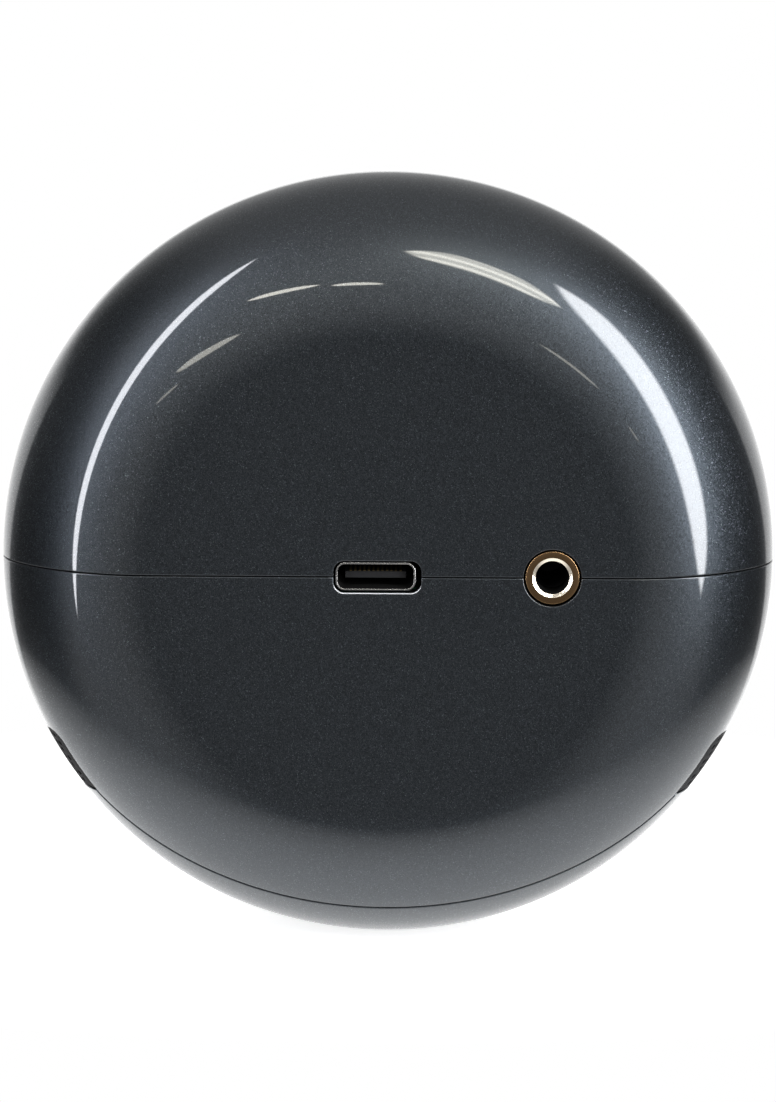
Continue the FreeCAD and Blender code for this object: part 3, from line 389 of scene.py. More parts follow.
def lathe(name, section, material, centre=(0, 0), segments=256):
    """A closed (radius, depth) section turned about a line along Y, at x and z of centre."""
    turn = np.arange(segments) * 2 * math.pi / segments
    verts, faces = [], []
    for radius, depth in section:
        verts += [(centre[0] + radius * math.sin(a), depth, centre[1] + radius * math.cos(a)) for a in turn]
    count = len(section)
    for row in range(count):
        after = (row + 1) % count
        for i in range(segments):
            j = (i + 1) % segments
            faces.append((row * segments + i, row * segments + j, after * segments + j, after * segments + i))
    return tidy_mesh(mesh_object(name, verts, faces, material))


def tidy_mesh(piece, sharp=35):
    """Weld, face outwards and shade by angle, with flat faces kept flat."""
    work = bmesh.new()
    work.from_mesh(piece.data)
    bmesh.ops.remove_doubles(work, verts=work.verts, dist=1e-7)
    bmesh.ops.dissolve_degenerate(work, edges=work.edges, dist=1e-8)
    bmesh.ops.recalc_face_normals(work, faces=work.faces)
    work.to_mesh(piece.data)
    work.free()
    piece.data.set_sharp_from_angle(angle=math.radians(sharp))
    weighted = piece.modifiers.new("shading", "WEIGHTED_NORMAL")
    weighted.keep_sharp = True
    return piece


def loft(name, rings, material):
    """A body through rings that all have the same number of points, its ends closed unless they meet."""
    count = len(rings[0])
    verts = [tuple(p) for ring in rings for p in ring]
    faces = []
    for row in range(len(rings) - 1):
        for i in range(count):
            j = (i + 1) % count
            faces.append((row * count + i, row * count + j, (row + 1) * count + j, (row + 1) * count + i))
    if rings[0] is not rings[-1]:
        faces.append(tuple(range(count))[::-1])
        faces.append(tuple(range((len(rings) - 1) * count, len(rings) * count)))
    return tidy_mesh(mesh_object(name, verts, faces, material))


# ---------------------------------------------------------------- materials

class Nodes:
    """A short way to write a node tree."""

    def __init__(self, tree):
        self.tree = tree

    def add(self, kind, inputs=None, **settings):
        item = self.tree.nodes.new("ShaderNode" + kind)
        for key, value in settings.items():
            setattr(item, key, value)
        for key, value in (inputs or {}).items():
            if isinstance(value, bpy.types.NodeSocket):
                self.tree.links.new(value, item.inputs[key])
            else:
                item.inputs[key].default_value = value
        return item

    def maths(self, operation, *values):
        return self.add("Math", dict(enumerate(values)), operation=operation).outputs[0]

    def ramp(self, value, low, high, start=0.0, end=1.0):
        item = self.add("MapRange", {"Value": value, "From Min": start, "From Max": end,
                                     "To Min": low, "To Max": high})
        return item.outputs[0]

    def blend(self, factor, one, two):
        item = self.add("Mix", {"Factor": factor}, data_type="RGBA")
        for index, value in ((6, one), (7, two)):
            if isinstance(value, bpy.types.NodeSocket):
                self.tree.links.new(value, item.inputs[index])
            else:
                item.inputs[index].default_value = tuple(value[:3]) + (1,)
        return item.outputs[2]


def new_material(name):
    material = bpy.data.materials.new(name)
    material.use_nodes = True
    tree = material.node_tree
    shader = tree.nodes["Principled BSDF"]
    nodes = Nodes(tree)
    place = nodes.add("TexCoord").outputs["Object"]
    return material, nodes, shader, place


def set_shader(nodes, shader, **values):
    """Set the shader's own sockets; an underscore in a name stands for a space."""
    for key, value in values.items():
        socket = shader.inputs[key.replace("_", " ")]
        if isinstance(value, bpy.types.NodeSocket):
            nodes.tree.links.new(value, socket)
        elif socket.type == "RGBA":
            socket.default_value = tuple(value[:3]) + (1,)
        else:
            socket.default_value = value


def noise(nodes, place, scale, detail=3.0, roughness=0.5):
    return nodes.add("TexNoise", {"Vector": place, "Scale": scale, "Detail": detail,
                                  "Roughness": roughness}).outputs["Fac"]


def bump(nodes, height, strength, distance, normal=None):
    inputs = {"Height": height, "Strength": strength, "Distance": distance}
    if normal is not None:
        inputs["Normal"] = normal
    return nodes.add("Bump", inputs).outputs["Normal"]


def lacquer(name):
    """Anthracite metallic lacquer: fine tilted flakes, a few of them bright, under a clear gloss coat."""
    material, nodes, shader, place = new_material(name)
    normal = nodes.add("NewGeometry").outputs["Normal"]
    cell = nodes.add("TexVoronoi", {"Vector": place, "Scale": 15000.0}).outputs["Color"]
    split = nodes.add("SeparateColor", {"Color": cell})
    red, green, blue = (split.outputs[index] for index in range(3))
    tilt = nodes.add("VectorMath", {0: cell, 1: (0.5, 0.5, 0.5)}, operation="SUBTRACT").outputs[0]
    reach = nodes.ramp(red, 0.10, 0.38, 0.80, 1.0)
    tilt = nodes.add("VectorMath", {0: tilt, "Scale": reach}, operation="SCALE").outputs[0]
    tilted = nodes.add("VectorMath", {0: normal, 1: tilt}, operation="ADD").outputs[0]
    tilted = nodes.add("VectorMath", {0: tilted}, operation="NORMALIZE").outputs[0]
    bright = nodes.ramp(red, 0.0, 0.16, 0.95, 1.0)
    hue = nodes.blend(green, (0.55, 0.74, 0.66), (0.66, 0.62, 0.86))
    ground = nodes.blend(blue, [c * 0.62 for c in PAINT_GROUND], [c * 1.42 for c in PAINT_GROUND])
    set_shader(nodes, shader, Base_Color=nodes.blend(bright, ground, hue), Metallic=1.0, Normal=tilted,
               Roughness=nodes.ramp(blue, 0.30, 0.44), Coat_Weight=1.0, Coat_Roughness=0.03, Coat_IOR=1.5)
    return material


def plastic(name, colour, rough=0.5, grain=1.0, coat=0.0, scale=3000.0, shine=0.5):
    """Moulded plastic with a fine spark-eroded grain and slight colour drift."""
    material, nodes, shader, place = new_material(name)
    drift = noise(nodes, place, 90.0, 2.0)
    fine = noise(nodes, place, scale, 4.0, 0.6)
    dark = [c * 0.86 for c in colour]
    light = [min(1, c * 1.12) for c in colour]
    set_shader(nodes, shader, Base_Color=nodes.blend(drift, dark, light),
               Roughness=nodes.ramp(fine, rough * 0.85, min(1, rough * 1.15)),
               Normal=bump(nodes, fine, 0.25 * grain, 0.00006), Coat_Weight=coat, Coat_Roughness=0.08,
               Specular_IOR_Level=shine)
    return material


def metal(name, colour, rough=0.25, stretch=(1, 1, 1), scale=4000.0, strength=0.15):
    """Bare or plated metal with fine tool marks along one axis and a few duller patches."""
    material, nodes, shader, place = new_material(name)
    mapped = nodes.add("Mapping", {"Vector": place, "Scale": stretch}).outputs["Vector"]
    marks = noise(nodes, mapped, scale, 5.0, 0.6)
    dull = noise(nodes, place, 260.0, 3.0)
    dark = [c * 0.85 for c in colour]
    set_shader(nodes, shader, Base_Color=nodes.blend(dull, dark, colour), Metallic=1.0,
               Roughness=nodes.ramp(dull, rough * 0.75, rough * 1.3),
               Normal=bump(nodes, marks, strength, 0.00003))
    return material


def rubber(name, colour, rough=0.7):
    material, nodes, shader, place = new_material(name)
    fine = noise(nodes, place, 2600.0, 5.0, 0.65)
    dust = nodes.ramp(noise(nodes, place, 420.0, 4.0, 0.7), 0.0, 0.3, 0.55, 0.8)
    set_shader(nodes, shader, Base_Color=nodes.blend(dust, colour, [c * 2.2 for c in colour]), Roughness=rough,
               Normal=bump(nodes, fine, 0.4, 0.00008), Sheen_Weight=0.15, Sheen_Roughness=0.5)
    return material


def knit_height(nodes, place):
    """The same raised knit as in the front cloth's mesh, from 0 in its valleys to 1 on its loops."""
    split = nodes.add("SeparateXYZ", {"Vector": place})
    across = nodes.maths("COSINE", nodes.maths("MULTIPLY", split.outputs["X"], 2 * math.pi / (WALE * MM)))
    along = nodes.maths("SUBTRACT", split.outputs["Z"], CENTRE.z)
    along = nodes.maths("MULTIPLY", along, 2 * math.pi / (COURSE * MM))
    along = nodes.maths("ADD", along, nodes.maths("MULTIPLY", across, math.pi / 2))
    loops = nodes.ramp(nodes.maths("COSINE", along), 0.45, 1.0, -1.0, 1.0)
    return nodes.maths("MULTIPLY", loops, nodes.ramp(across, 0.0, 1.0, -1.0, 0.8))


def cloth(name, colour, thread=0.8, shade_knit_valleys=False):
    """Acoustic cloth: two-tone melange threads with soft sheen; on a knit, painted shade darkens the valleys
    between its loops.
    """
    material, nodes, shader, place = new_material(name)
    strand = nodes.add("Mapping", {"Vector": place, "Scale": (1.0, 1.0, 0.5)}).outputs["Vector"]
    melange = noise(nodes, strand, 2600.0, 2.0, 0.5)
    fibre = noise(nodes, strand, 9000.0, 4.0, 0.7)
    mixed = nodes.ramp(melange, 0.0, 1.0, 0.35, 0.68)
    yarn = nodes.blend(mixed, [c * 0.65 for c in colour], [c * 1.5 for c in colour])
    if shade_knit_valleys:
        # painted shade: the knit's valleys are darkened to 12% of the yarn's colour
        raised = nodes.ramp(knit_height(nodes, place), 0.0, 1.0, 0.05, 0.6)
        yarn = nodes.blend(raised, [c * 0.12 for c in colour], yarn)
    set_shader(nodes, shader, Base_Color=yarn, Roughness=0.92, Normal=bump(nodes, fibre, 0.5, 0.00005 * thread),
               Sheen_Weight=0.35, Sheen_Roughness=0.4)
    return material


def circuit(name, colour):
    """Solder mask over copper tracks, with plated pads."""
    material, nodes, shader, place = new_material(name)
    tracks = nodes.add("TexBrick", {"Vector": place, "Scale": 420.0, "Mortar Size": 0.06,
                                    "Color1": (1, 1, 1, 1), "Color2": (0.8, 0.8, 0.8, 1),
                                    "Mortar": (0, 0, 0, 1)}).outputs["Fac"]
    pads = nodes.add("TexVoronoi", {"Vector": place, "Scale": 500.0}).outputs["Distance"]
    pad = nodes.maths("LESS_THAN", pads, 0.16)
    masked = nodes.blend(tracks, colour, [c * 2.2 for c in colour])
    set_shader(nodes, shader, Base_Color=nodes.blend(pad, masked, (0.75, 0.6, 0.3)),
               Metallic=nodes.maths("MULTIPLY", pad, 0.9), Roughness=0.32,
               Normal=bump(nodes, tracks, 0.3, 0.00005))
    return material


def glow_guide(name):
    """Milky light guide, unlit: soft scattering under a satin skin."""
    material, nodes, shader, place = new_material(name)
    haze = noise(nodes, place, 700.0, 3.0)
    milk = nodes.blend(haze, (0.50, 0.52, 0.54), (0.58, 0.60, 0.62))
    set_shader(nodes, shader, Base_Color=milk, Roughness=0.35,
               Subsurface_Weight=0.3, Subsurface_Scale=0.002,
               Normal=bump(nodes, noise(nodes, place, 3500.0), 0.1, 0.00004))
    return material


PAINT_GROUND = (0.037, 0.043, 0.050)
RECORD_COLOUR = {m["slot"]: m["base_color"][:3] for m in frame["record"]["materials"]}
PAINT = lacquer("anthracite_lacquer")
MATERIALS = {
    "shell_lacquer": PAINT,
    "button_lacquer": PAINT,
    "bezel_lacquer": plastic("gloss_pale", (0.58, 0.58, 0.57), 0.25, 0.1, 1.0),
    "light_guide": glow_guide("milky_guide"),
    # the front cloth gets painted shade in the valleys of its knit
    "grille_fabric": cloth("charcoal_knit", (0.075, 0.078, 0.085), shade_knit_valleys=True),
    "foot_rubber": rubber("foot_silicone", (0.02, 0.02, 0.021)),
    "vent_mesh": plastic("mesh_black_coat", (0.012, 0.012, 0.013), 0.75, 1.5, 0.0, 2500.0, 0.15),
    "port_steel": metal("nickel_plate", (0.42, 0.41, 0.40), 0.25, (1, 0.15, 1)),
    "jack_plate": metal("rose_gold_plate", (0.36, 0.22, 0.11), 0.2, (1, 1, 1), 5000.0, 0.1),
    "contact_plate": metal("contact_gold", (0.42, 0.32, 0.16), 0.35),
    # the charging port's tongue: grey plastic made near black, as painted shade inside the port
    "grey_plastic": plastic("tongue_painted_shade", (0.011, 0.011, 0.012), 0.75, shine=0.2),
    "can_steel": metal("tinned_steel", (0.66, 0.66, 0.67), 0.3, (1, 1, 0.2)),
    "screw_steel": metal("black_zinc", (0.22, 0.22, 0.23), 0.35),
    "aluminium_can": metal("satin_aluminium", (0.78, 0.78, 0.8), 0.35, (1, 0.1, 1)),
    "zinc_steel": metal("zinc_steel", (0.6, 0.6, 0.58), 0.35),
    "basket_steel": metal("coated_steel", (0.06, 0.06, 0.065), 0.5, strength=0.4),
    "ferrite": rubber("ferrite", (0.09, 0.09, 0.095), 0.8),
    "surround_rubber": rubber("surround_rubber", (0.03, 0.03, 0.032), 0.5),
    "foam": rubber("foam", (0.05, 0.05, 0.05), 0.95),
    "spider_cloth": cloth("spider_cloth", (0.45, 0.33, 0.14)),
    "copper": metal("winding_copper", (0.72, 0.36, 0.2), 0.3, (1, 8, 1), 3000.0, 0.5),
    "board": circuit("solder_mask", (0.015, 0.10, 0.05)),
    "chip": plastic("chip_epoxy", (0.03, 0.03, 0.034), 0.6),
    "dark_plastic": plastic("moulded_black", (0.022, 0.022, 0.024), 0.55),
}
for entry in frame["record"]["materials"]:
    if entry["slot"] not in MATERIALS:
        MATERIALS[entry["slot"]] = plastic(entry["slot"] + "_look", RECORD_COLOUR[entry["slot"]], 0.5)
for part in frame["record"]["subparts"]:
    carried = frame["nodes"][part["node"]]
    carried.data.materials.clear()
    carried.data.materials.append(MATERIALS[part["material_slot"]])
    carried.data.set_sharp_from_angle(angle=math.radians(35))

# near-black painted shade for the walls inside the ports
PORT_PAINTED_SHADE = plastic("port_painted_shade", (0.005, 0.005, 0.005), 0.8, shine=0.1)
# a pale gold painted highlight: a much lighter copy of the jack collar's plating, for its chamfer
CHAMFER_HIGHLIGHT = metal("gold_painted_highlight", (0.95, 0.86, 0.72), 0.2, (1, 1, 1), 5000.0, 0.05)
# a pale painted highlight for the casing's lower lip at the charging port
LIP_HIGHLIGHT = plastic("lip_painted_highlight", (0.62, 0.63, 0.66), 0.3, 0.2, 1.0)


def settle(piece, body, slot, *nodes):
    """Put a piece on its body and hide the nodes it stands for; the slot argument is not used."""
    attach(piece, body)
    if nodes:
        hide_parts(*nodes)
    return piece


# ---------------------------------------------------------------- casing

def seam_path(side):
    """The parting line from left to right, with half of each port's cut-out; side 1 is the upper lip."""
    half = side * SEAM_GAP / 2
    path = []

    def line(start, end):
        ticks = np.linspace(start, end, max(2, math.ceil(abs(end - start) / 0.6)))
        radius, _, _ = profile(np.abs(ticks))
        path.extend(zip(ticks, half * np.abs(ticks) / np.maximum(radius, 1e-6)))

    def arc(centre, radius, start, end, rise=0.0):
        for step in range(0 if rise else 1, 17 if rise else 16):
            angle = math.radians(start + (end - start) * step / 16)
            path.append((centre + radius * math.cos(angle), side * (rise + radius * math.sin(angle))))

    width, height = USB_CUT[0] / 2 - USB_CUT_CORNER, USB_CUT[1] / 2 - USB_CUT_CORNER
    bite = math.degrees(math.asin(SEAM_GAP / 2 / JACK_CUT))
    line(-FRONT_REACH, -USB_CUT_X - width - USB_CUT_CORNER)
    arc(-USB_CUT_X - width, USB_CUT_CORNER, 180, 90, height)
    arc(-USB_CUT_X + width, USB_CUT_CORNER, 90, 0, height)
    line(-USB_CUT_X + width + USB_CUT_CORNER, -JACK_X - JACK_CUT)
    arc(-JACK_X, JACK_CUT, 180 - bite, bite)
    line(-JACK_X + JACK_CUT, FRONT_REACH)
    return np.array(path)


def rim_path(start, end):
    """Along the drum's front edge between two turns, in degrees from the right seen from the back."""
    turn = np.radians(np.linspace(start, end, max(2, math.ceil(abs(end - start) * 0.9))))
    return np.stack([FRONT_REACH * np.cos(turn), FRONT_REACH * np.sin(turn)], 1)


def spot_on_barrel(angle, radius, count=72):
    """A round outline on the barrel, about a radius at this angle from the top."""
    around = np.arange(count) * 2 * math.pi / count
    reach = reach_at_depth(BUTTON_DEPTH + radius * np.sin(around))
    wide, _, _ = profile(reach)
    turn = math.pi / 2 + math.radians(angle) + np.arcsin(radius * np.cos(around) / wide)
    return np.stack([reach * np.cos(turn), reach * np.sin(turn)], 1)


def side_path(side):
    """From the drum's front edge back along the cover's top edge, round the vent, to the cover's corner."""
    path = softened([(-FRONT_PLANE, -COVER_TOP), (-VENT_FRONT, -COVER_TOP), (-VENT_FRONT, -VENT_TOP),
                     (VENT_REAR, -VENT_TOP), (VENT_REAR, -COVER_TOP - 0.2)],
                    [0, 0.5, VENT_CORNER, VENT_CORNER, 0], 8)
    path = resampled([tuple(p) for p in path], 0.45)
    return chart(path[:, 0], path[:, 1], side)


def cover_rear_path(gap):
    """The cover's rear edge from left to right: a wide arc seen from below."""
    def depth_at(x):
        return COVER_REAR - gap - (COVER_ARC - math.sqrt(COVER_ARC**2 - x * x))

    def height_at(x):
        radius, _, _ = profile(reach_at_depth(depth_at(x)))
        return -math.sqrt(max(float(radius) ** 2 - x * x, 0))

    low, high = 20.0, 38.0
    for _ in range(40):
        middle = (low + high) / 2
        if height_at(middle) < -COVER_TOP - gap:
            low = middle
        else:
            high = middle
    out = []
    for x in np.linspace(-low, low, 140):
        reach = float(reach_at_depth(depth_at(x)))
        radius = float(profile(reach)[0])
        out.append((reach * x / radius, reach * height_at(x) / radius))
    return np.array(out)


def casing():
    corner = math.degrees(math.asin(SEAM_GAP / 2 / float(profile(FRONT_REACH)[0])))
    low_corner = math.degrees(math.asin(COVER_TOP / float(profile(FRONT_REACH)[0])))
    holes = [spot_on_barrel(a, BUTTON_RADIUS + BUTTON_CLEARANCE) for a in BUTTONS.values()]
    holes += [spot_on_barrel(a, MIC_RADIUS, 24) for a in MIC_ANGLES]
    outline = np.concatenate([rim_path(corner, 180 - corner)[:-1], seam_path(1)[:-1]])
    settle(skin("upper_casing", [outline] + holes, PAINT), "housing", "shell_lacquer", "top_shell")

    rear = cover_rear_path(0.0)
    outline = np.concatenate([
        seam_path(-1)[::-1][:-1],
        rim_path(180 + corner, 180 + low_corner)[:-1],
        side_path(-1), rear[1:-1], side_path(1)[::-1],
        rim_path(-low_corner, -corner)[1:-1],
    ])
    settle(skin("lower_casing", [outline], PAINT), "housing", "shell_lacquer", "bottom_shell")

    top = -COVER_TOP - COVER_GAP
    rear = cover_rear_path(COVER_GAP)
    edge_depth = float(np.interp(np.hypot(*rear[0]), TABLE_REACH, TABLE_DEPTH))
    edge_turn = math.degrees(math.asin(-top / float(profile(FRONT_REACH)[0])))
    depths = np.linspace(edge_depth, -FRONT_PLANE, 50)[1:-1]
    left = chart(depths, np.full(len(depths), top), -1)
    right = chart(depths, np.full(len(depths), top), 1)
    outline = np.concatenate([rim_path(180 + edge_turn, 360 - edge_turn), right[::-1], rear[::-1], left])
    settle(skin("bottom_panel", [outline], PAINT), "housing", "shell_lacquer", "bottom_cover")

    for name, angle in BUTTONS.items():
        cap = skin(f"{name}_cap", [spot_on_barrel(angle, BUTTON_RADIUS)], PAINT, pitch=0.5, edge=0.3)
        settle(cap, f"{name}_key", "button_lacquer", f"{name}_button")


def vent_meshes():
    """Fine perforated panels that fill the side vents."""
    low, high = -COVER_TOP + VENT_CLEARANCE, -VENT_TOP - VENT_CLEARANCE
    front, rear = VENT_CLEARANCE - VENT_FRONT, VENT_REAR - VENT_CLEARANCE
    border = softened([(front, low), (rear, low), (rear, high), (front, high)],
                      [0.2, 0.2, VENT_CORNER, VENT_CORNER], 8)
    border = resampled([tuple(p) for p in border], 0.4, True)
    around = np.arange(10) * 2 * math.pi / 10
    across, up = MESH_HOLE * np.sin(around), MESH_HOLE * np.cos(around)
    columns, rows = MESH_COUNT
    for name, side in (("left", 1), ("right", -1)):
        loops = [chart(border[:, 0], border[:, 1], side)]
        for row in range(rows):
            for column in range(columns):
                depth = front + MESH_START[0] + column * MESH_PITCH[0] + MESH_PITCH[0] / 2 * (row % 2)
                height = low + MESH_START[1] + row * MESH_PITCH[1]
                in_corner = row == rows - 1 and not front + 1.3 < depth < rear - 1.3
                if not in_corner:
                    loops.append(chart(depth + across, height + up, side))
        mesh = skin(f"vent_screen_{name}", loops, MATERIALS["vent_mesh"], pitch=1.2, edge=0.05,
                    wall=MESH_SHEET, offset=MESH_RECESS, steps=2)
        settle(mesh, "housing", "vent_mesh", f"side_vent_mesh_{name}")


casing()
vent_meshes()


# ---------------------------------------------------------------- ports

def slot_ring(width, height, corner, depth, count=10):
    """A rounded outline about the charging port's axis, at a depth."""
    out = []
    for side, up, start in ((1, -1, -90), (1, 1, 0), (-1, 1, 90), (-1, -1, 180)):
        for step in range(count + 1):
            angle = math.radians(start + 90 * step / count)
            out.append((USB_X + side * (width / 2 - corner) + corner * math.cos(angle), depth,
                        up * (height / 2 - corner) + corner * math.sin(angle)))
    return out


def refinish(piece, material, centre, test):
    """Give some faces another material, here painted shade or a painted highlight; test takes x and z about the
    port's axis, and the face's normal.
    """
    piece.data.materials.append(material)
    index = len(piece.data.materials) - 1
    for face in piece.data.polygons:
        middle = (face.center - CENTRE) / MM
        if test(middle.x - centre, middle.z, face.normal):
            face.material_index = index


def usb_port():
    low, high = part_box("usb_c_shell")
    mouth = (high.y - CENTRE.y) / MM
    back = (low.y - CENTRE.y) / MM
    lip = USB_PLATE / 2 - 0.01

    def ring(inset, depth):
        return slot_ring(USB_OUT[0] - 2 * inset, USB_OUT[1] - 2 * inset, USB_CORNER - inset, depth)

    rings = []
    for angle in range(0, 181, 15):
        inset = USB_PLATE / 2 + (USB_PLATE / 2) * math.cos(math.radians(180 - angle))
        rings.append(ring(inset, mouth - lip * (1 - math.sin(math.radians(angle)))))
    rings += [ring(USB_PLATE, back), ring(0.0, back), rings[0]]
    shell = loft("charging_port_shell", rings, MATERIALS["port_steel"])
    reach_x, reach_z = USB_OUT[0] / 2 - USB_PLATE + 0.1, USB_OUT[1] / 2 - USB_PLATE + 0.1
    # painted shade: the steel shell's inner walls are made near black
    refinish(shell, PORT_PAINTED_SHADE, USB_X, lambda x, z, n: abs(x) < reach_x and abs(z) < reach_z and abs(n.y) < 0.9)
    settle(shell, "housing", "port_steel", "usb_c_shell")


def jack_port():
    low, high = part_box("jack_barrel")
    mouth = (high.y - CENTRE.y) / MM
    back = (low.y - CENTRE.y) / MM
    chamfer = [(radius, mouth - drop) for radius, drop in JACK_CHAMFER]
    section = softened([(JACK_BORE, back), (JACK_RADIUS, back), (JACK_RADIUS, mouth)] + chamfer,
                       [0, 0, 0.12, 0.03, 0.1, 0.04], 4)
    collar = lathe("audio_jack_collar", section, MATERIALS["jack_plate"], (JACK_X, 0), 128)
    bore, rim = JACK_BORE + 0.04, JACK_CHAMFER[0][0] - 0.01
    # painted shade: the jack's bore walls are made near black
    refinish(collar, PORT_PAINTED_SHADE, JACK_X, lambda x, z, n: math.hypot(x, z) < bore and abs(n.y) < 0.3)
    # painted highlight: the chamfer in a far paler gold than the rest of the collar
    refinish(collar, CHAMFER_HIGHLIGHT, JACK_X, lambda x, z, n: math.hypot(x, z) < rim and 0.3 < n.y < 0.99)
    settle(collar, "housing", "jack_plate", "jack_barrel")


def paint_lip_highlight():
    """Paint a highlight on the casing's lower lip about the charging port, where its rounding faces upwards."""
    wide, high = USB_CUT[0] / 2 + 0.05, USB_CUT[1] / 2 + 0.16
    # painted highlight: the lip's faces that turn upwards get the pale coat
    refinish(bpy.data.objects["lower_casing"], LIP_HIGHLIGHT, USB_CUT_X,
             lambda x, z, n: abs(x) < wide and -high < z < -1.0 and n.z > 0.25 and 0.1 < n.y < 0.97)


usb_port()
jack_port()
paint_lip_highlight()


# ---------------------------------------------------------------- front and foot

def front():
    low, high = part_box("front_bezel")
    seam = (high.y - CENTRE.y) / MM
    nose = (low.y - CENTRE.y) / MM
    step = -FRONT_PLANE - FRONT_STEP
    base = float(profile(reach_at_depth(step))[0])
    tip = base - (step - nose) * math.tan(TAPER)
    section = softened([(TRIM_BORE, seam), (TRIM_SOCKET, seam), (TRIM_SOCKET, step), (base, step),
                        (tip, nose), (TRIM_BORE, nose)], [0, 0, 0, 0.15, 2.2, 0.35], 8)
    settle(lathe("front_trim", section, MATERIALS["bezel_lacquer"]), "housing", "bezel_lacquer", "front_bezel")

    low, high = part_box("light_ring")
    nose = (low.y - CENTRE.y) / MM
    back = (high.y - CENTRE.y) / MM
    section = softened([(GUIDE_BORE, back), (GUIDE_RADIUS, back), (GUIDE_RADIUS, nose), (GUIDE_BORE, nose)],
                       [0, 0, 0.3, 0.3], 5)
    guide = lathe("status_light_guide", section, MATERIALS["light_guide"])
    settle(guide, "housing", "light_guide", "light_ring")


def knit():
    """The stretched front cloth: a crowned disc with a raised knit of interlocked ribs."""
    low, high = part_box("fabric_grille")
    radius = (high.x - low.x) / 2 / MM
    edge = (high.y - CENTRE.y) / MM - CLOTH_RIM
    nose = (low.y - CENTRE.y) / MM
    rise = edge - nose
    curve = (radius**2 + rise**2) / (2 * rise)
    pitch, relief, thickness = 0.22, 0.11, 0.45
    count = int(2 * radius / pitch) + 1
    ticks = np.linspace(-radius, radius, count)
    u, v = np.meshgrid(ticks, ticks)
    limit = np.hypot(u, v)
    scale = np.where(limit > 0, np.maximum(np.abs(u), np.abs(v)) / np.maximum(limit, 1e-9), 1)
    x, z = u * scale, v * scale
    reach = np.hypot(x, z)
    crown = edge - (np.sqrt(curve**2 - reach**2) - (curve - rise))
    ribs = 0.5 + 0.5 * np.cos(2 * math.pi * x / WALE)
    loops = 0.5 + 0.5 * np.cos(2 * math.pi * (z / COURSE + 0.25 * np.cos(2 * math.pi * x / WALE)))
    fade = np.clip((radius - reach) / 1.2, 0, 1)
    depth = crown + relief * (1 - ribs**0.6 * (0.45 + 0.55 * loops)) * fade
    front_points = np.stack([x, depth, z], 2).reshape(-1, 3)
    inner = np.stack([x, crown + relief + thickness, z], 2).reshape(-1, 3)
    verts = np.concatenate([front_points, inner])
    shift = count * count
    index = np.arange(count * count).reshape(count, count)
    a, b, c, d = (q.ravel() for q in (index[:-1, :-1], index[:-1, 1:], index[1:, 1:], index[1:, :-1]))
    faces = np.stack([a, b, c, d], 1)
    faces = faces.tolist() + (faces[:, ::-1] + shift).tolist()
    border = np.concatenate([index[0, :-1], index[:-1, -1], index[-1, :0:-1], index[:0:-1, 0]])
    for p, q in zip(border, np.roll(border, -1)):
        faces.append((int(q), int(p), int(p) + shift, int(q) + shift))
    piece = mesh_object("front_cloth", verts, faces, MATERIALS["grille_fabric"])
    if piece.data.polygons[0].normal.y > 0:
        piece.data.flip_normals()
    settle(piece, "housing", "grille_fabric", "fabric_grille")


def foot():
    low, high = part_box("rubber_foot")
    centre_x = (low.x + high.x) / 2 / MM
    centre_y = ((low.y + high.y) / 2 - CENTRE.y) / MM
    wide, deep = (high.x - low.x) / 2 / MM, (high.y - low.y) / 2 / MM
    bottom, top = (low.z - CENTRE.z) / MM, (high.z - CENTRE.z) / MM
    turn = np.arange(96) * 2 * math.pi / 96
    rings = []
    for inset, height in ((1.6, bottom + 0.06), (1.1, bottom), (0.55, bottom), (0.25, bottom + 0.1),
                          (0.06, bottom + 0.3), (0.0, bottom + 0.6)):
        rings.append([(centre_x + (wide - inset) * math.cos(a), centre_y + (deep - inset) * math.sin(a), height)
                      for a in turn])
    drum_under = [-math.sqrt(max(float(profile(reach_at_depth(p[1]))[0]) ** 2 - p[0] ** 2, 0)) + 0.15
                  for p in rings[-1]]
    rings.append([(p[0], p[1], max(h, bottom + 0.62)) for p, h in zip(rings[-1], drum_under)])
    settle(loft("rubber_pad", rings, MATERIALS["foot_rubber"]), "housing", "foot_rubber", "rubber_foot")


front()
knit()
foot()


# ---------------------------------------------------------------- stage, light and camera

FLOOR_SHIFT = -0.022
FLOOR_STRETCH = 1.5
FLOOR_FADE = (0.039, 0.076)
FLOOR_GLOW = 0.80
BACKGROUND = 1.0


def stage():
    """A pale oval sweep, softly lit through, whose edge melts into the background."""
    segments, rings, reach = 96, 12, 0.2
    verts, faces = [(0, 0, 0)], []
    for ring in range(1, rings + 1):
        for step in range(segments):
            angle = 2 * math.pi * step / segments
            verts.append((reach * ring / rings * math.cos(angle), reach * ring / rings * math.sin(angle), 0))
    for step in range(segments):
        faces.append((0, 1 + step, 1 + (step + 1) % segments))
        for ring in range(rings - 1):
            a = 1 + ring * segments
            b = a + segments
            faces.append((a + step, b + step, b + (step + 1) % segments, a + (step + 1) % segments))
    mesh = bpy.data.meshes.new("floor")
    mesh.from_pydata(verts, [], faces)
    floor = bpy.data.objects.new("floor", mesh)
    floor.location = (0, FLOOR_SHIFT, 0)
    floor.scale = (FLOOR_STRETCH, 1, 1)
    bpy.context.scene.collection.objects.link(floor)
    material, nodes, shader, place = new_material("floor_pale")
    radius = nodes.add("VectorMath", {0: place}, operation="LENGTH").outputs["Value"]
    set_shader(nodes, shader, Base_Color=(0.86, 0.86, 0.86), Roughness=0.9, Specular_IOR_Level=0.1,
               Emission_Color=(1, 1, 1), Emission_Strength=FLOOR_GLOW,
               Alpha=nodes.ramp(radius, 1.0, 0.0, FLOOR_FADE[0], FLOOR_FADE[1]))
    mesh.materials.append(material)


def toward(azimuth, elevation):
    """A direction from the speaker: azimuth from +Y towards +X, elevation above the horizon."""
    a, e = math.radians(azimuth), math.radians(elevation)
    return Vector((math.sin(a) * math.cos(e), math.cos(a) * math.cos(e), math.sin(e)))


WARM = (1.0, 0.98, 0.88)
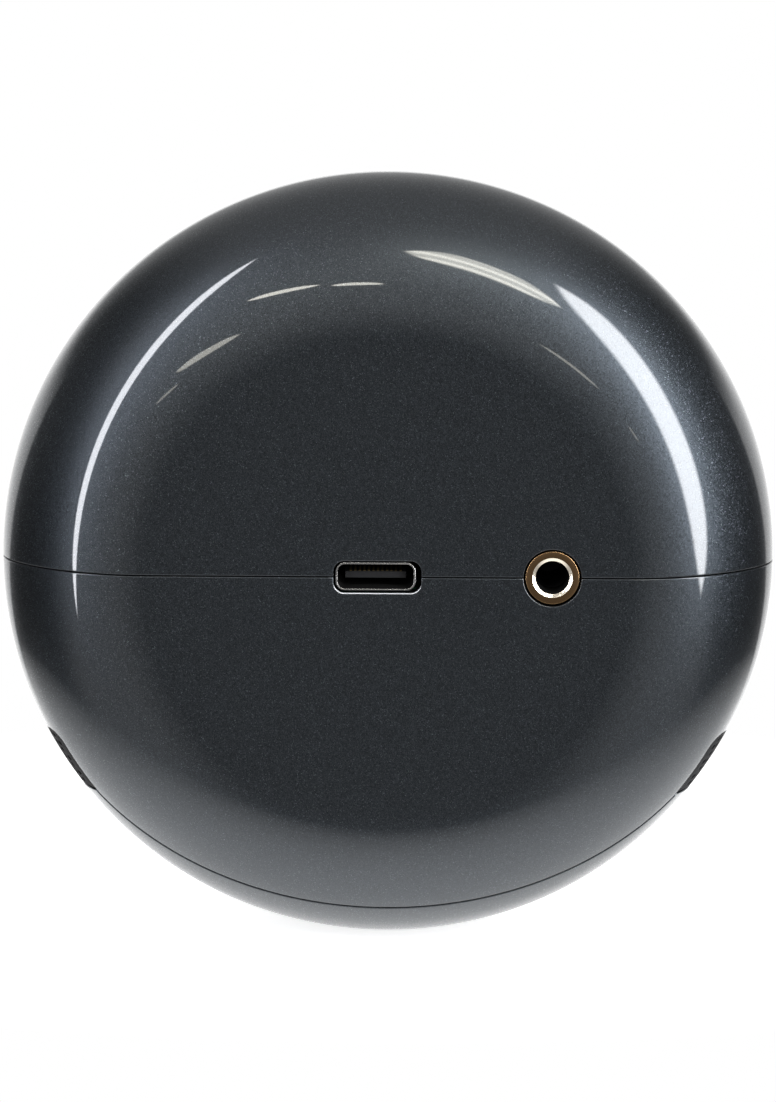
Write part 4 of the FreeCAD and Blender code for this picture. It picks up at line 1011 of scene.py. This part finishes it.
# name: ends as (azimuth, elevation), half-width in degrees, radiance, colour
STRIPS = {
    "lamp_left": ((55, -19), (45, 55), 2.6, 18, (0.93, 0.95, 1.0)),
    "lamp_right": ((-55, -15), (-46, 46), 8.5, 17, (0.95, 0.97, 1.0)),
    "ceiling_far_left": ((27, 32.6), (11, 31.4), 1.1, 14, WARM),
    "ceiling_far_middle": ((9.5, 30.2), (0.5, 28.4), 1.0, 13, WARM),
    "ceiling_row_left": ((30, 15.4), (17.5, 16.6), 1.7, 7, WARM),
    "ceiling_row_low": ((29.5, 9.4), (24.5, 10.6), 0.6, 4, WARM),
    "ceiling_row_right": ((-15.5, 13.1), (-24, 9.5), 0.8, 5, WARM),
    "ceiling_row_edge": ((-27, 5.6), (-29.2, 4), 0.5, 4, WARM),
    "ceiling_lens": ((-3, 51.5), (-37, 34.5), 5.0, 17, WARM),
}


def strip(nodes, direction, start, end, half_width):
    """How far a direction lies inside a lens-shaped band on the sky, from 0 to 1, and its place across."""
    a, b = toward(*start), toward(*end)
    middle = (a + b).normalized()
    across = a.cross(b).normalized()
    along = across.cross(middle)

    def dot(vector):
        product = nodes.add("VectorMath", {0: direction, 1: tuple(vector)}, operation="DOT_PRODUCT")
        return product.outputs["Value"]

    ahead = dot(middle)
    reach = nodes.maths("DIVIDE", dot(along), nodes.maths("MAXIMUM", ahead, 0.01))
    share = nodes.maths("DIVIDE", reach, b.dot(along) / b.dot(middle))
    taper = nodes.maths("SUBTRACT", 1.0, nodes.maths("POWER", nodes.maths("ABSOLUTE", share), 3.5))
    width = math.radians(half_width)
    place = nodes.maths("DIVIDE", dot(across), width)
    within = nodes.maths("SUBTRACT", taper, nodes.maths("ABSOLUTE", place))
    edge = nodes.add("MapRange", {"Value": within, "From Min": 0.0, "From Max": 0.35},
                     interpolation_type="SMOOTHSTEP")
    front = nodes.maths("GREATER_THAN", ahead, 0.1)
    return nodes.maths("MULTIPLY", edge.outputs[0], front), place


def room(nodes, direction):
    """Radiance of the studio by direction: dim towards the camera, pale above and below, white behind."""
    split = nodes.add("SeparateXYZ", {"Vector": direction})
    x, y, z = (split.outputs[index] for index in range(3))
    ceiling = nodes.ramp(z, 0.0, 0.40, -0.08, 0.22)
    side = nodes.maths("ABSOLUTE", x)
    ceiling = nodes.maths("MULTIPLY", ceiling, nodes.ramp(side, 1.0, 0.12, 0.50, 0.78))
    window = nodes.maths("MULTIPLY", nodes.ramp(side, 0.0, 0.36, 0.12, 0.42),
                         nodes.ramp(side, 1.0, 0.0, 0.80, 0.93))
    window = nodes.maths("MULTIPLY", window, nodes.ramp(y, 0.0, 1.0, 0.1, 0.4))
    below = nodes.maths("MULTIPLY", nodes.ramp(z, 1.12, 0.0, -0.94, -0.50),
                        nodes.ramp(side, 1.0, 0.65, 0.5, 0.9))
    slant = nodes.maths("SUBTRACT", y, nodes.maths("MULTIPLY", z, 0.7))
    backdrop = nodes.maths("MULTIPLY", nodes.ramp(slant, 1.3, 0.0, -0.52, -0.44),
                           nodes.ramp(z, 1.0, 0.0, 0.15, 0.36))
    dim = nodes.ramp(side, 0.15, 0.06, 0.2, 0.9)
    brightest = nodes.maths("MAXIMUM", ceiling, window)
    for other in (below, backdrop):
        brightest = nodes.maths("MAXIMUM", brightest, other)
    return nodes.maths("ADD", brightest, dim)


def world():
    """The studio, seen by the speaker's surfaces, and a plain white backdrop seen by the camera."""
    scene_world = bpy.data.worlds.new("studio")
    bpy.context.scene.world = scene_world
    scene_world.use_nodes = True
    tree = scene_world.node_tree
    tree.nodes.clear()
    nodes = Nodes(tree)
    direction = nodes.add("TexCoord").outputs["Generated"]
    glow = nodes.add("Background", {"Color": (1.0, 1.0, 1.0, 1), "Strength": room(nodes, direction)}).outputs[0]
    for name, (start, end, half_width, radiance, colour) in STRIPS.items():
        light, place = strip(nodes, direction, start, end, half_width)
        if name == "ceiling_lens":
            slats = nodes.maths("SINE", nodes.maths("MULTIPLY", place, 8.6))
            light = nodes.maths("MULTIPLY", light, nodes.ramp(slats, 0.55, 1.0, -0.5, 0.8))
        lamp = nodes.add("Background", {"Color": tuple(colour) + (1,),
                                        "Strength": nodes.maths("MULTIPLY", light, radiance)})
        glow = nodes.add("AddShader", {0: glow, 1: lamp.outputs[0]}).outputs[0]
    plain = nodes.add("Background", {"Color": (1, 1, 1, 1), "Strength": BACKGROUND})
    seen = nodes.add("LightPath").outputs["Is Camera Ray"]
    mixed = nodes.add("MixShader", {0: seen, 1: glow, 2: plain.outputs[0]})
    out = nodes.add("OutputWorld")
    tree.links.new(mixed.outputs[0], out.inputs["Surface"])


def lights():
    """A broad overhead lamp that only matt surfaces take up, and a soft fill for the cloth front."""
    lamps = (("overhead", (0, -0.2, 1.4), 14, 1.6), ("front_fill", (0.5, -1.2, 0.7), 5, 1.0))
    for name, place, energy, size in lamps:
        light = bpy.data.lights.new(name, "AREA")
        light.shape = "DISK"
        light.size = size
        light.energy = energy
        lamp = bpy.data.objects.new(name, light)
        lamp.location = place
        lamp.visible_camera = False
        lamp.visible_glossy = False
        bpy.context.scene.collection.objects.link(lamp)
        lamp.rotation_euler = (CENTRE - lamp.location).to_track_quat("-Z", "Y").to_euler()


CAMERA_RISE = 11.0
CAMERA_DISTANCE = 0.560
CAMERA_LENS = 161.9
CAMERA_AIM = 0.43
CAMERA_ROLL = 0.36


def camera():
    """Behind the speaker and a little above it, as in the photograph."""
    data = bpy.data.cameras.new("camera")
    data.lens = CAMERA_LENS
    data.sensor_width = 36
    data.clip_start = 0.01
    eye = bpy.data.objects.new("camera", data)
    back = toward(0, CAMERA_RISE)
    aim = CENTRE + Vector((0, 0, CAMERA_AIM * MM / math.cos(math.radians(CAMERA_RISE))))
    eye.location = aim + back * CAMERA_DISTANCE
    eye.rotation_mode = "QUATERNION"
    eye.rotation_quaternion = Quaternion(back, math.radians(CAMERA_ROLL)) @ (-back).to_track_quat("-Z", "Y")
    bpy.context.scene.collection.objects.link(eye)
    bpy.context.scene.camera = eye


stage()
world()
lights()
camera()
bpy.context.scene.view_settings.view_transform = "Standard"
